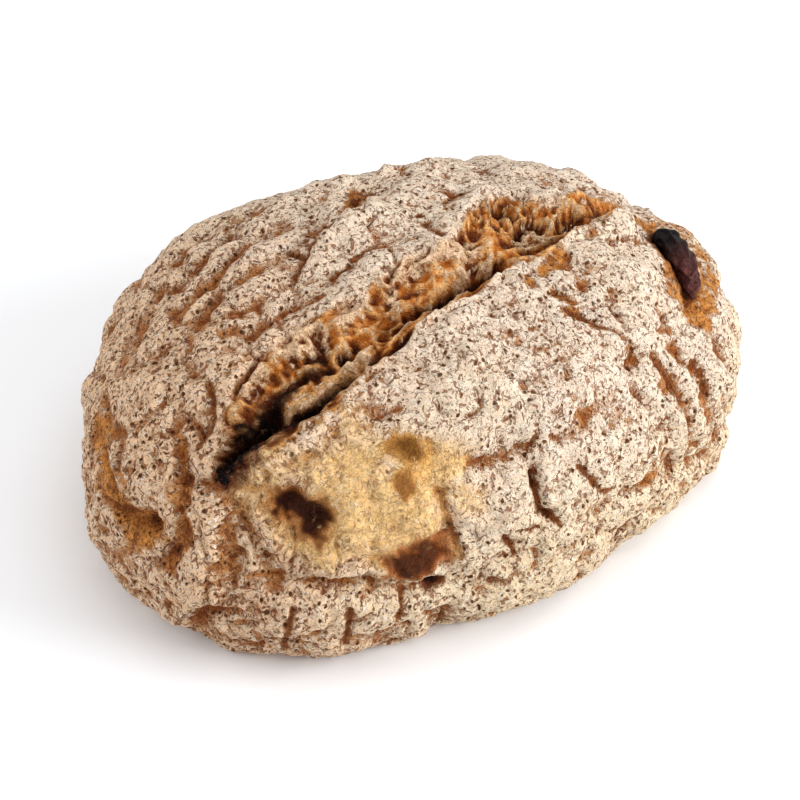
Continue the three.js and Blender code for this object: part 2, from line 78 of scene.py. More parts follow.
SWELLS = (
    (3.0, 44, ((262, 38), (302, 38))),
    (2.0, 30, ((150, 14), (60, 10))),
    (4.2, 22, ((233, 58), (238, 56))),
    (3.2, 17, ((220, 82), (240, 83))),
    (2.6, 10, ((206, 60),)),
    (2.8, 10, ((205, 68), (207, 76))),
    (2.6, 15, ((180, 50), (189, 58))),
    (2.0, 13, ((186, 76), (197, 79))),
    (1.5, 20, ((268, 84), (280, 82))),
    (3.4, 7, ((110, 21),)),
    (3.6, 7, ((66, 34), (53, 31))),
    (2.4, 7, ((99, 35), (90, 33))),
    (3.0, 9, ((352, 38),)),
    (1.6, 11, ((336, 40),)),
    (1.2, 8, ((245, 71),)),
    (1.8, 14, ((30, 64),)),
    (1.8, 15, ((100, 62),)),
    (1.8, 14, ((140, 68),)),
    (-1.8, 24, ((335, 78),)),
    (1.8, 17, ((354, 56),)),
    (-2.4, 17, ((6, 46),)),
    (-1.0, 18, ((52, 40),)),
    (2.0, 18, ((121, 51),)),
    (-2.7, 22, ((141, 64),)),
    (1.6, 16, ((157, 69),)),
    (-1.0, 15, ((175, 80),)),
    (-2.4, 12, ((351, 46), (337, 51))),
    (1.9, 5, ((164, 37), (161, 32), (155, 29), (148, 26), (142, 23), (134, 21))),
    (1.6, 6, ((147, 43),)),
    (1.6, 6, ((139, 40),)),
    (2.0, 6, ((142, 33),)),
    (2.0, 6, ((130, 31),)),
    (1.4, 6, ((170, 31), (165, 26))),
    (1.4, 7, ((326, 27), (318, 33))),
    (1.6, 8, ((314, 44),)),
    (1.4, 7, ((338, 33), (332, 37), (326, 41))),
)

CREASES = (
    (-3.0, 4.8, ((191, 50), (194, 53), (196, 55), (199, 56), (205, 55), (209, 58))),
    (-3.6, 5.0, ((209, 58), (209, 63), (210, 67), (210, 72), (210, 78), (206, 84), (204, 92))),
    (-3.4, 7.0, ((180, 56), (183, 62), (186, 65), (190, 67), (195, 68))),
    (-5.5, 4.8, ((195, 68),)),
    (-2.4, 4.4, ((197, 57), (200, 61), (201, 66), (200, 74))),
    (-2.4, 3.8, ((210, 55), (212, 60), (214, 65), (217, 70))),
    (-3.8, 5.2, ((214, 72), (222, 72), (228, 73), (235, 75), (243, 78), (249, 78))),
    (-1.6, 3.6, ((214, 48), (219, 48), (224, 46), (223, 44), (224, 41))),
    (-2.4, 7.0, ((222, 55), (224, 58))),
    (-2.0, 4.0, ((221, 52), (218, 55), (218, 59), (220, 63))),
    (-1.3, 5.0, ((240, 47),)),
    (-1.1, 4.5, ((243, 54),)),
    (-3.6, 4.4, ((248, 78),)),
    (-2.8, 5.5, ((246, 50), (250, 58), (250, 65), (251, 71), (252, 78))),
    (-3.8, 8.0, ((250, 86), (250, 96))),
    (-2.8, 3.8, ((272, 54), (273, 58), (274, 67), (278, 71))),
    (-2.0, 3.8, ((263, 70), (267, 72), (275, 71))),
    (-2.0, 4.6, ((254, 54), (260, 53), (272, 53), (279, 55), (287, 54), (295, 52))),
    (-2.0, 5.2, ((332, 26), (323, 31), (313, 38))),
    (-2.1, 5.6, ((323, 33), (319, 38), (311, 49), (309, 57))),
    (-2.1, 5.2, ((309, 51), (308, 57), (309, 66), (310, 73), (312, 80))),
    (-2.3, 5.2, ((316, 52), (316, 58), (317, 66), (317, 75), (317, 81))),
    (-2.3, 5.2, ((327, 43), (326, 47), (322, 58), (322, 68), (322, 74))),
    (-2.2, 5.2, ((331, 60), (332, 68), (331, 80))),
    (-2.0, 5.2, ((352, 62), (353, 68), (351, 78))),
    (-2.0, 5.2, ((10, 52), (11, 62), (8, 74))),
    (-1.4, 5.0, ((312, 49),)),
    (-1.2, 4.5, ((303, 75),)),
    (-2.4, 8.0, ((298, 86), (298, 96))),
    (-3.8, 6.0, ((104, 18), (90, 25), (76, 25))),
    (-2.0, 3.4, ((180, 31),)),
    (-1.8, 3.2, ((182, 27),)),
    (-1.6, 4.6, ((172, 35), (165, 33), (160, 29), (156, 25), (151, 20))),
    (-1.8, 5.2, ((166, 44), (162, 40), (158, 35), (150, 31), (139, 28), (128, 26))),
    (-1.7, 5.0, ((155, 44), (147, 38), (139, 36), (135, 35), (127, 36))),
    (-1.5, 5.8, ((174, 52), (164, 51), (152, 46), (140, 44), (124, 44))),
    (-1.6, 3.6, ((180, 31), (186, 29), (185, 26), (184, 23), (184, 20))),
    (-3.5, 10.0, ((8, 20), (6, 26))),
    (-3.0, 4.5, ((12, 20),)),
    (-3.0, 4.5, ((2, 24),)),
    (-2.5, 4.2, ((14, 26),)),
    (-3.0, 4.4, ((356, 32),)),
    (-2.4, 5.5, ((320, 24), (333, 25))),
    (-2.5, 4.5, ((324, 12),)),
    (-3.5, 4.4, ((206, 25),)),
    (-3.5, 4.2, ((217, 23),)),
    (-2.2, 5.2, ((60, 50), (66, 58), (64, 67), (70, 76))),
    (-2.2, 5.2, ((86, 46), (93, 56), (90, 66))),
    (-2.2, 5.2, ((118, 52), (124, 60), (120, 70), (128, 78))),
    (-2.0, 5.2, ((150, 58), (154, 66), (150, 76))),
    (-2.2, 5.2, ((24, 48), (29, 58), (26, 68), (32, 78))),
    (-2.0, 5.2, ((42, 42), (47, 53), (44, 62))),
    (-2.6, 8.0, ((44, 86), (44, 96))),
    (-2.6, 8.0, ((95, 86), (95, 96))),
    (-2.6, 8.0, ((150, 86), (150, 96))),
)

FOLDS = (  # they stand up on the left of their path, seen from outside
    (2.4, 9, ((196, 66), (193, 65), (190, 64), (187, 63), (184, 61), (181, 56))),
    (3.0, 8, ((42, 10), (64, 11), (83, 14), (104, 17), (123, 15), (140, 16), (151, 17), (170, 18))),
    (1.8, 10, ((311, 49), (319, 38), (325, 31))),
)

STRIP = (4.0, 3.8, ((207, 41), (211, 36), (217, 32), (222, 28), (229, 24)))

SPLIT_TURN = 11.0
SPLIT = np.array((  # along the split, near edge, fissure, far edge, depth of the fissure
    (-77, -16, -15, -13, 0),
    (-70, -19, -15.5, -11, 4.5),
    (-62, -22, -16, -6, 7.5),
    (-53, -24.5, -17.5, -3, 8),
    (-42, -26.5, -19.5, -3, 8),
    (-29, -26.5, -19.5, -4, 8),
    (-15, -25, -18.5, -3, 7.5),
    (0, -24.5, -18, -4, 8),
    (10, -24, -17, -3, 8.5),
    (22, -23, -15.5, 3, 8),
    (34, -21.5, -13, 6, 7),
    (44, -19.5, -12, -2, 5.5),
    (54, -19, -12.5, -6, 5),
    (62, -18, -13, -8, 3.5),
    (70, -14, -12, -10, 0),
))
LIP_HEIGHT = 1.6
LIP_REACH = 5.0
CRUMB_CELL = 6.5
CRUMB_STRETCH = 0.62
CRUMB_WALL = 0.9
CRUMB_PIT = 0.9

KNOBS = 300
KNOB_STEP = 0.35
SEAM_DEPTH = 0.75
SEAM_WIDTH = 4.0
WAVES = ((30, 0.8), (19, 0.55), (12, 0.35))
WANDER = ((21, 0.9), (8, 0.3))

# ---- Fine relief (mm), too fine for the solid ----

ROUGHNESS = ((4.6, 0.42), (2.4, 0.34), (1.4, 0.20))  # length, height of the crust's grain
SMALL_PITS = (3.2, 0.6)  # length, depth
COBBLES = ((9.0, 0.9), (5.5, 0.5))  # length of the lumps of crust, depth of the seams between them
LUMPS = ((8.0, 3.4), (4.0, 1.8), (1.9, 0.7))  # length, height of the lumps in the torn crumb
LACE = (3.2, 1.6, 12.0, ((27, 1), (38, 2), (33, -6)))  # length, height, reach and place of thin walls
RIBS = (2.1, 0.35)  # length, height of the ribs across the torn strip
FRAY = (5.0, 1.5, 4.5)  # length, height and reach of the unevenness of the torn edges

CRACKS = (  # depth, half width, path on the crust
    (1.4, 1.9, ((250, 57), (251, 62), (253, 67), (254, 72))),
    (1.8, 1.8, ((274, 59), (274, 62), (274, 66), (275, 68), (278, 72))),
    (1.2, 1.7, ((286, 62), (288, 66), (290, 70), (293, 71))),
    (1.2, 1.7, ((264, 69), (266, 73), (267, 76))),
    (1.0, 1.6, ((267, 69), (273, 71))),
    (1.1, 1.6, ((278, 50), (275, 54))),
    (1.3, 1.8, ((324, 60), (324, 64), (323, 68))),
    (1.2, 1.8, ((316, 51), (317, 58), (317, 65))),
    (1.2, 1.8, ((310, 33), (311, 39), (313, 44))),
    (1.2, 1.6, ((314, 29), (314, 33))),
    (1.5, 1.7, ((150, 20), (156, 17), (169, 19))),
    (1.3, 1.6, ((156, 17), (142, 16), (123, 15))),
    (1.0, 1.5, ((170, 9), (160, 7), (153, 4))),
    (1.0, 1.5, ((179, 13), (177, 10))),
    (1.0, 1.6, ((19, 7), (6, 7))),
    (1.4, 2.0, ((50, 12),)),
    (1.4, 2.0, ((36, 16),)),
    (1.4, 1.8, ((40, 20), (30, 21))),
    (1.6, 2.0, ((90, 26),)),
    (1.4, 1.8, ((231, 78), (230, 88))),
    (1.2, 1.8, ((221, 77), (219, 90))),
    (1.2, 1.8, ((241, 78), (240, 84))),
    (1.0, 1.6, ((190, 40), (196, 44), (197, 50))),
    (1.2, 1.8, ((60, 57), (64, 66))),
    (1.2, 1.8, ((92, 52), (91, 64))),
    (1.2, 1.8, ((138, 56), (146, 62), (144, 72))),
    (1.2, 1.8, ((8, 56), (12, 66))),
)

# Places in the tear are (along, across) in the split's frame.
HOLES = (  # depth, half width, path
    (4.025, 5.0, ((-62, -16), (-57, -15.5))),
    (2.99, 2.2, ((-62, -17), (-68, -16), (-74, -16.5))),
    (2.99, 2.0, ((-58, -18.6), (-55, -19.8), (-48, -21), (-42, -21.7), (-37, -21.8))),
    (2.3, 2.4, ((-56, -12.3), (-50, -12.8), (-45, -13.6), (-39, -15))),
    (2.76, 2.2, ((-65, -7), (-60, -5.2), (-54, -3.5), (-50, -1.9))),
    (2.99, 2.4, ((-41, -11.4), (-38.5, -12.2))),
    (3.68, 2.6, ((-34.5, -15), (-33, -17))),
    (2.53, 1.8, ((-30, -23.6), (-26, -24.2), (-21, -24.6), (-17, -24))),
    (2.53, 1.8, ((-12, -22.9), (-9, -22.4))),
    (2.53, 1.8, ((-10, -18.4), (-4, -21.2), (2, -23.2))),
    (3.22, 2.2, ((-8, -16.4), (-5.5, -17.2))),
    (4.6, 2.8, ((-1, -17.1), (7, -17), (12, -15.5), (15, -15.8))),
    (3.22, 1.7, ((19.5, -14.5), (17.5, -18), (15.5, -20.5))),
    (2.99, 2.4, ((34, -0.4), (32, 1.6))),
    (3.45, 2.8, ((31, -7), (34, -5.5))),
    (2.76, 2.2, ((44, 2.1), (40, 4.3))),
    (2.3, 2.0, ((26, -3),)),
    (2.3, 2.2, ((46, -12.5),)),
    (2.07, 1.8, ((45, -17.5),)),
)
BLOBS = (  # height, half width, path
    (-1.4, 4.4, ((-49, -10.2),)),
    (1.3, 4.6, ((-26, -12.5), (-23, -14.5))),
    (1.3, 3.6, ((-17, -14.6), (-15, -16.4))),
    (1.5, 2.6, ((-12, -12.6), (-9.4, -15))),
    (2.2, 5.6, ((0, -12.4), (8, -11.4))),
    (1.2, 3.0, ((1, -20), (6, -20), (11, -21))),
    (-1.6, 7.0, ((47, -13.5), (55, -11.5), (62, -10.5))),
    (1.0, 4.0, ((41, -9.8),)),
    (3.4, 5.5, ((-34, -20.5), (-22, -21), (-12, -20.5))),
    (2.2, 4.0, ((24, -15), (40, -13))),
)
CURLS = (  # height, half width, path
    (1.8, 1.7, ((-65, -10.4), (-60, -7.6), (-56, -6.4), (-51, -5.4))),
    (1.2, 1.3, ((-33, -19.4), (-29, -20.6), (-24, -20.6))),
    (1.2, 1.3, ((-22, -21.8), (-14, -20.2), (-8, -20.2))),
    (1.0, 1.2, ((13, -11), (17, -12), (21, -15.5))),
    (1.0, 1.2, ((-44, -7.4), (-39, -8.2), (-36, -12))),
    (0.9, 1.2, ((36, -12), (43, -15), (47, -15))),
)

# ---- Dried fruit (mm) ----

FRUIT_PATH = ((352.5, 46), (349, 48), (344.5, 49.5), (340, 50.5), (335, 51.5))
FRUIT_HALF_WIDTHS = (5.4, 5.2, 4.4, 3.4, 2.6)
FRUIT_FLATNESS = 0.72
FRUIT_SINK = 0.6
FRUIT_WRINKLE = 0.07
SEAT_GAP = 0.3

# ---- Mesh (mm) ----

COARSE_EDGE = 1.0
UNDER_EDGE = 2.5
UNDER_RELIEF = 0.8  # how far the underside's hollows rise into the loaf


# ---- Small functions ----


def smooth(start, end, x):
    t = np.clip((x - start) / (end - start), 0, 1)
    return t * t * (3 - 2 * t)


def hill(x):
    t = np.clip(np.abs(x), 0, 1)
    return (1 - t * t) ** 2


def crease(x):
    t = np.clip(np.abs(x), 0, 1)
    return 0.5 * (1 - t) ** 2 * (1 + 0.5 * t) + 0.5 * hill(t)


def mixed(a, b, share):
    return a + (b - a) * np.asarray(share)[..., None]


def linear(red, green, blue):
    """A colour as read off a screen, 0 to 255, in the renderer's linear light."""
    v = np.array((red, green, blue)) / 255
    return np.where(v <= 0.04045, v / 12.92, ((v + 0.055) / 1.055) ** 2.4)


# ---- The crust before its relief ----


def radius_at(bearing):
    radii = np.array(PLAN_RADII, float)
    count = len(radii)
    t = bearing / 360 * count
    i = np.floor(t).astype(int)
    f = t - i
    a, b, c, d = (radii[(i + k) % count] for k in (-1, 0, 1, 2))
    return b + 0.5 * f * (c - a + f * (2 * a - 5 * b + 4 * c - d + f * (3 * (b - c) + d - a)))


def section(radius, quarters):
    rise = np.clip(quarters, 0, 1) * np.pi / 2
    tuck = np.clip(quarters - 1, 0, 1) * np.pi / 2
    fall = np.maximum(np.cos(rise), 0) ** (2 / RISE_FULLNESS)
    upper = quarters <= 1
    r = np.where(upper, radius * np.sin(rise) ** (2 / PLAN_FULLNESS), radius - TUCK * (1 - np.cos(tuck)))
    upper_z = GIRTH_HEIGHT + (CROWN_HEIGHT - GIRTH_HEIGHT) * fall
    z = np.where(upper, upper_z, GIRTH_HEIGHT * (1 - np.sin(tuck)))
    return r, z


def measure_section(steps=4000):
    quarters = 2 * (np.arange(steps + 1) / steps) ** 2
    r, z = section(MEAN_RADIUS, quarters)
    length = np.concatenate(([0], np.cumsum(np.hypot(np.diff(r), np.diff(z)))))
    return length, quarters


SECTION_LENGTHS, SECTION_QUARTERS = measure_section()
SECTION_LENGTH = SECTION_LENGTHS[-1]


def crust_point(bearing, share):
    quarters = np.interp(share * SECTION_LENGTH, SECTION_LENGTHS, SECTION_QUARTERS)
    r, z = section(radius_at(bearing), quarters)
    turn = np.radians(bearing)
    return np.stack((r * np.cos(turn), r * np.sin(turn), z), -1)


def disc_point(disc):
    share = np.minimum(np.hypot(disc[:, 0], disc[:, 1]), 1)
    bearing = np.degrees(np.arctan2(disc[:, 1], disc[:, 0])) % 360
    return crust_point(bearing, share)


def disc_normal(disc, step=0.003):
    inward = np.minimum(1, (1 - 1.5 * step) / np.maximum(np.hypot(disc[:, 0], disc[:, 1]), 1e-9))
    at = disc * inward[:, None]
    right, up = (disc_point(at + way) - disc_point(at - way) for way in step * np.eye(2))
    normal = np.cross(right, up)
    return normal / np.linalg.norm(normal, axis=1, keepdims=True)


def place_points(path):
    places = np.array(path, float)
    return crust_point(places[:, 0], places[:, 1] / 100)


# ---- Relief shared with the solid ----


def nearest(points, corners):
    """Distance to a path, share of its length there, and the side, positive on its left."""
    if len(corners) == 1:
        distance = np.linalg.norm(points - corners[0], axis=1)
        return distance, np.full(len(points), 0.5), np.ones(len(points))
    lengths = np.linalg.norm(np.diff(corners, axis=0), axis=1)
    starts = np.concatenate(([0], np.cumsum(lengths)))
    distance = np.full(len(points), np.inf)
    along, side = np.zeros(len(points)), np.zeros(len(points))
    for k, length in enumerate(lengths):
        step = (corners[k + 1] - corners[k]) / length
        reach = np.clip((points - corners[k]) @ step, 0, length)
        offset = points - corners[k] - reach[:, None] * step
        gap = np.linalg.norm(offset, axis=1)
        outward = (corners[k] + corners[k + 1]) / 2 - (0, 0, HEART_HEIGHT)
        left = np.cross(outward / np.linalg.norm(outward), step)
        closer = gap < distance
        distance = np.where(closer, gap, distance)
        along = np.where(closer, (starts[k] + reach) / starts[-1], along)
        side = np.where(closer, offset @ left, side)
    return distance, along, side


def within(points, corners, reach):
    """Indices of the points that a feature can touch."""
    middle = corners.mean(0)
    radius = np.linalg.norm(corners - middle, axis=1).max() + reach
    return np.nonzero(((points - middle) ** 2).sum(1) < radius**2)[0]


def spread(k):
    """Directions spread evenly over a sphere."""
    turn = math.radians(GOLDEN_ANGLE) * k
    rise = 0.9 * math.cos(1.7 * k)
    flat = math.sqrt(1 - rise * rise)
    return np.array((flat * math.cos(turn), flat * math.sin(turn), rise))


def wander(points):
    moved = points.copy()
    for k, (length, reach) in enumerate(WANDER):
        for axis in range(3):
            m = 6 * k + 2 * axis + 11
            slow = 2 * np.sin(2 * np.pi / (1.7 * length) * (points @ spread(m + 1)))
            moved[:, axis] += reach * np.sin(2 * np.pi / length * (points @ spread(m)) + slow)
    return moved


def unevenness(points):
    total = np.zeros(len(points))
    for k, (length, height) in enumerate(WAVES):
        for j in range(4 * k, 4 * k + 4):
            total += height / 2 * np.sin(2 * np.pi / length * (points @ spread(j)) + 1.3 * j)
    return total


def scatter(i, j, k):
    return np.abs(np.sin(i * 127.1 + j * 311.7 + k * 74.7) * 43758.5453) % 1


def two_nearest_in_grid(x, y, size):
    first, second = np.full(len(x), np.inf), np.full(len(x), np.inf)
    for di in (-1, 0, 1):
        for dj in (-1, 0, 1):
            i, j = np.floor(x / size) + di, np.floor(y / size) + dj
            dx = x - (i + 0.15 + 0.7 * scatter(i, j, 1)) * size
            dy = y - (j + 0.15 + 0.7 * scatter(i, j, 2)) * size
            distance = np.hypot(dx, dy)
            second = np.where(distance < first, first, np.minimum(second, distance))
            first = np.minimum(first, distance)
    return first, second


class Split:
    """Where each point lies in the split, and the split's relief there."""

    def __init__(self, points):
        cos, sin = math.cos(math.radians(SPLIT_TURN)), math.sin(math.radians(SPLIT_TURN))
        self.along = points[:, 0] * cos + points[:, 1] * sin
        self.across = points[:, 1] * cos - points[:, 0] * sin
        self.top = np.stack((self.along, self.across, np.zeros(len(points))), 1)
        near, fissure, far, depth = (np.interp(self.along, SPLIT[:, 0], row) for row in SPLIT[:, 1:].T)
        self.depth = depth * smooth(GIRTH_HEIGHT, GIRTH_HEIGHT + 12, points[:, 2])
        on_far = self.across > fissure
        x = (self.across - fissure) / np.where(on_far, far - fissure, fissure - near)
        slope = np.where(on_far, 0.4 * smooth(0, 0.25, x) + 0.6 * smooth(0.15, 1, x), smooth(0.05, 1, -x))
        self.beyond = np.where(on_far, self.across - far, near - self.across)
        lip = LIP_HEIGHT * np.minimum(1, self.depth / 5) * hill((self.beyond - 1.2) / LIP_REACH)
        self.inside = (1 - smooth(0.86, 1.06, np.abs(x))) * np.minimum(1, self.depth / 3)
        first, second = two_nearest_in_grid(self.along * CRUMB_STRETCH, self.across, CRUMB_CELL)
        walls = CRUMB_WALL * (1 - smooth(0, 2.4, second - first))
        pits = CRUMB_PIT * hill(first / (0.62 * CRUMB_CELL))
        self.height = lip - self.depth * (1 - slope) + self.inside * (walls - pits)

    def distance(self, path):
        """Distance, seen from above, to a path of (along, across) places."""
        corners = np.array([(along, across, 0) for along, across in path], float)
        return nearest(self.top, corners)[0]


def knob_middles():
    k = np.arange(KNOBS) + 0.5
    bearing = (k * GOLDEN_ANGLE + 20 * np.sin(1.9 * k)) % 360
    share = np.clip(0.995 * np.sqrt(k / KNOBS) + 0.022 * np.sin(7.3 * k), 0, 0.99)
    return crust_point(bearing, share)


def knob_relief(points, chunk=20000):
    middles = knob_middles()
    height = np.zeros(len(points))
    for start in range(0, len(points), chunk):
        part = points[start:start + chunk]
        gaps = np.linalg.norm(part[:, None] - middles[None], axis=2)
        knob = gaps.argmin(1)
        rows = np.arange(len(part))
        first = gaps[rows, knob]
        gaps[rows, knob] = np.inf
        seam = 1 - smooth(0, SEAM_WIDTH, gaps.min(1) - first)
        lower = 0.35 + 0.65 * (1 - smooth(45, 70, part[:, 2]))
        step = KNOB_STEP * np.sin(2.7 * knob) * (1 - seam)
        height[start:start + chunk] = step - SEAM_DEPTH * seam * lower
    return height


def fade(along, start):
    return np.minimum(1, start + 5 * np.minimum(along, 1 - along))


def coarse_relief(points, split):
    height = unevenness(points)
    for rise, reach, path in SWELLS:
        corners = place_points(path)
        i = within(points, corners, reach)
        height[i] += rise * hill(nearest(points[i], corners)[0] / reach)
    for rise, reach, path in CREASES:
        corners = place_points(path)
        i = within(points, corners, reach)
        distance, along, _ = nearest(points[i], corners)
        ends = fade(along, 0.35) if len(path) > 1 else 1
        height[i] += rise * ends * crease(distance / reach)
    for rise, reach, path in FOLDS:
        corners = place_points(path)
        i = within(points, corners, reach)
        distance, along, side = nearest(points[i], corners)
        ends = smooth(0, 0.3, np.minimum(along, 1 - along))
        height[i] += rise * ends * hill(distance / np.where(side > 0, reach, 1.5))
    rise, reach, path = STRIP
    distance, along, _ = nearest(points, place_points(path))
    height += rise * fade(along, 0.3) * hill(distance / reach)
    return height + split.height + (1 - split.inside) * knob_relief(points)


# ---- Relief finer than the solid ----


def noise(points, length):
    """Smooth noise from -1 to 1 with bumps about this long."""
    cell = points / length
    base = np.floor(cell)
    f = cell - base
    f = f * f * f * (f * (6 * f - 15) + 10)
    total = np.zeros(len(points))
    for corner in range(8):
        step = np.array((corner & 1, corner >> 1 & 1, corner >> 2 & 1))
        weight = np.where(step, f, 1 - f).prod(1)
        total += weight * scatter(*(base + step).T)
    return 2 * total - 1


def ridged(points, length):
    return 1 - 2 * np.abs(noise(points, length))


def fine_relief(points, split, raised):
    """Relief too fine for the solid. On the tear's steep walls the noise is read at the raised points."""
    grain = np.zeros(len(points))
    for length, height in ROUGHNESS:
        grain += height * noise(points, length)
    length, depth = SMALL_PITS
    grain -= depth * smooth(0.30, 0.70, noise(points + 31, length))
    for length, depth in COBBLES:
        seam = 1 - smooth(0, 0.22, np.abs(noise(points + length, length)))
        grain -= depth * seam * smooth(-0.5, 0.4, noise(points - length, 2 * length))
    tear = np.zeros(len(points))
    for length, height in LUMPS:
        tear += height * (0.35 - np.abs(noise(raised + 17, length)))
    length, height, reach, path = LACE
    lace = hill(split.distance(path) / reach) ** 0.5
    walls = smooth(0.62, 0.95, ridged(raised + 3, length)) - 0.4
    tear = tear * (1 - lace) + height * walls * lace
    for profile, features in ((hill, BLOBS), (crease, CURLS)):
        for rise, width, path in features:
            tear += rise * profile(split.distance(path) / width)
    # split.dark marks the holes, where the crumb colour is darkened as painted shade.
    split.dark = np.zeros(len(points))
    for depth, width, path in HOLES:
        hole = smooth(0, 1, 1 - split.distance(path) / width)
        tear -= depth * hole
        split.dark = np.maximum(split.dark, hole)
    distance, along, _ = nearest(points, place_points(STRIP[2]))
    ribs = RIBS[1] * np.sin(2 * np.pi / RIBS[0] * split.along) * hill(distance / STRIP[1])
    split.strip = hill(distance / STRIP[1]) * fade(along, 0.2)
    split.crack = np.zeros(len(points))
    for depth, width, path in CRACKS:
        distance = nearest(points, place_points(path))[0] * (1 + 0.3 * noise(points, 2.5))
        cleft = crease(distance / width)
        grain -= depth * cleft
        split.crack = np.maximum(split.crack, smooth(0.15, 0.8, cleft))
    length, height, reach = FRAY
    fray = height * noise(raised - 5, length) * hill(split.beyond / reach)
    fray *= np.minimum(1, split.depth / 4)
    return grain * (1 - 0.4 * split.inside) + tear * split.inside + ribs + fray


# ---- The fruit and its seat ----


def fruit_frame():
    places = np.array(FRUIT_PATH, float)
    turn = np.radians(places[:, 0])
    disc = np.stack((np.cos(turn), np.sin(turn)), 1) * places[:, 1:] / 100
    normals = disc_normal(disc)
    points = disc_point(disc) - FRUIT_SINK * normals
    normal = normals.sum(0)
    return points, normal / np.linalg.norm(normal)


def catmull(points, t):
    """The curve through the points, as three.js draws it (centripetal), at shares of its parameter."""
    count = len(points)
    out = []
    for share in np.atleast_1d(t):
        place = min(share * (count - 1), count - 1 - 1e-9)
        k = int(place)
        w = place - k
        p0 = points[k - 1] if k > 0 else 2 * points[0] - points[1]
        p1, p2 = points[k], points[k + 1]
        p3 = points[k + 2] if k + 2 < count else 2 * points[-1] - points[-2]
        d0, d1, d2 = (np.linalg.norm(b - a) ** 0.5 for a, b in ((p0, p1), (p1, p2), (p2, p3)))
        t1 = ((p1 - p0) / d0 - (p2 - p0) / (d0 + d1) + (p2 - p1) / d1) * d1
        t2 = ((p2 - p1) / d1 - (p3 - p1) / (d1 + d2) + (p3 - p2) / d2) * d1
        out.append(p1 + t1 * w + (3 * (p2 - p1) - 2 * t1 - t2) * w**2 + (2 * (p1 - p2) + t1 + t2) * w**3)
    return np.array(out)


def fruit_width(along):
    """Half width of the fruit at shares of its length."""
    table = np.linspace(0, 1, len(FRUIT_HALF_WIDTHS))
    return np.interp(along, table, FRUIT_HALF_WIDTHS) * np.sqrt(1 - np.abs(2 * along - 1) ** 3)


def seat_height(points):
    """Height of the fruit's seat over the crust, and the distance to its rim, negative inside."""
    distance, along, _ = nearest(points, place_points(FRUIT_PATH))
    width = fruit_width(along) + SEAT_GAP
    belly = FRUIT_FLATNESS * width * np.sqrt(1 - np.clip(distance / width, 0, 1) ** 2)
    return -(FRUIT_SINK + SEAT_GAP + belly), distance - width


# ---- Mesh of the loaf ----


def lay_rings(edge):
    """Rings from the crown to the foot, as disc coordinates, and the faces between them."""
    count = round(SECTION_LENGTH / edge)
    rings = [np.zeros((1, 2))]
    for k in range(1, count + 1):
        share = k / count
        quarters = np.interp(share * SECTION_LENGTH, SECTION_LENGTHS, SECTION_QUARTERS)
        sides = max(6, round(2 * math.pi * float(section(MEAN_RADIUS, quarters)[0]) / edge))
        turn = (np.arange(sides) + 0.5 * (k % 2)) / sides * 2 * np.pi
        rings.append(share * np.stack((np.cos(turn), np.sin(turn)), 1))
    return rings


def zip_rings(inner, outer, inner_start, outer_start):
    """Triangles between two rings, walking round both in step."""
    if inner == 1:
        j = np.arange(outer)
        return np.stack((np.full(outer, inner_start), outer_start + j, outer_start + (j + 1) % outer), 1)
    steps = np.concatenate((np.arange(1, outer + 1) / outer, np.arange(1, inner + 1) / inner))
    is_outer = np.concatenate((np.ones(outer, bool), np.zeros(inner, bool)))
    order = np.lexsort((~is_outer, steps))
    is_outer = is_outer[order]
    j = np.concatenate(([0], np.cumsum(is_outer)[:-1]))
    i = np.concatenate(([0], np.cumsum(~is_outer)[:-1]))
    a, b = inner_start + i % inner, outer_start + j % outer
    c = np.where(is_outer, outer_start + (j + 1) % outer, inner_start + (i + 1) % inner)
    return np.stack((a, b, c), 1)


def refine(disc, faces, fine):
    """Halves the edges whose middle is in the fine zone, and the triangles with them."""
    edges = np.sort(np.concatenate((faces[:, [0, 1]], faces[:, [1, 2]], faces[:, [2, 0]])), 1)
    unique, back = np.unique(edges, axis=0, return_inverse=True)
    middles = disc[unique].mean(1)
    halved = fine(middles)
    index = np.full(len(unique), -1)
    index[halved] = len(disc) + np.arange(halved.sum())
    mids = index[back.reshape(3, -1)].T
    count = (mids >= 0).sum(1)
    first = np.where(count == 2, (mids < 0).argmax(1) + 1, (mids >= 0).argmax(1)) % 3
    turn = (np.arange(3)[None] + first[:, None]) % 3
    a, b, c = np.take_along_axis(faces, turn, 1).T
    ab, bc, ca = np.take_along_axis(mids, turn, 1).T
    patterns = {
        0: ((a, b, c),),
        1: ((a, ab, c), (ab, b, c)),
        2: ((ab, b, bc), (a, ab, bc), (a, bc, c)),
        3: ((a, ab, ca), (ab, b, bc), (ca, bc, c), (ab, bc, ca)),
    }
    parts = [np.stack(corners, 1)[count == n] for n, pattern in patterns.items() for corners in pattern]
    return np.concatenate((disc, middles[halved])), np.concatenate(parts)


def fine_zone(disc):
    points = disc_point(disc)
    split = Split(points)
    in_split = (split.depth > 0.5) & (split.beyond < 4)
    front = np.linalg.norm(points - place_points(((224, 66),))[0], axis=1) < 30
    fruit = nearest(points, place_points(FRUIT_PATH))[0] < 9
    return in_split | front | fruit


def loaf_mesh():
    rings = lay_rings(COARSE_EDGE)
    starts = np.concatenate(([0], np.cumsum([len(r) for r in rings])))
    pairs = zip(rings, rings[1:], starts, starts[1:])
    faces = [zip_rings(len(inner), len(outer), start, after) for inner, outer, start, after in pairs]
    disc = np.concatenate(rings)
    foot = starts[-2] + np.arange(len(rings[-1]))
    disc, faces = refine(disc, np.concatenate(faces), fine_zone)
    return disc, faces, foot


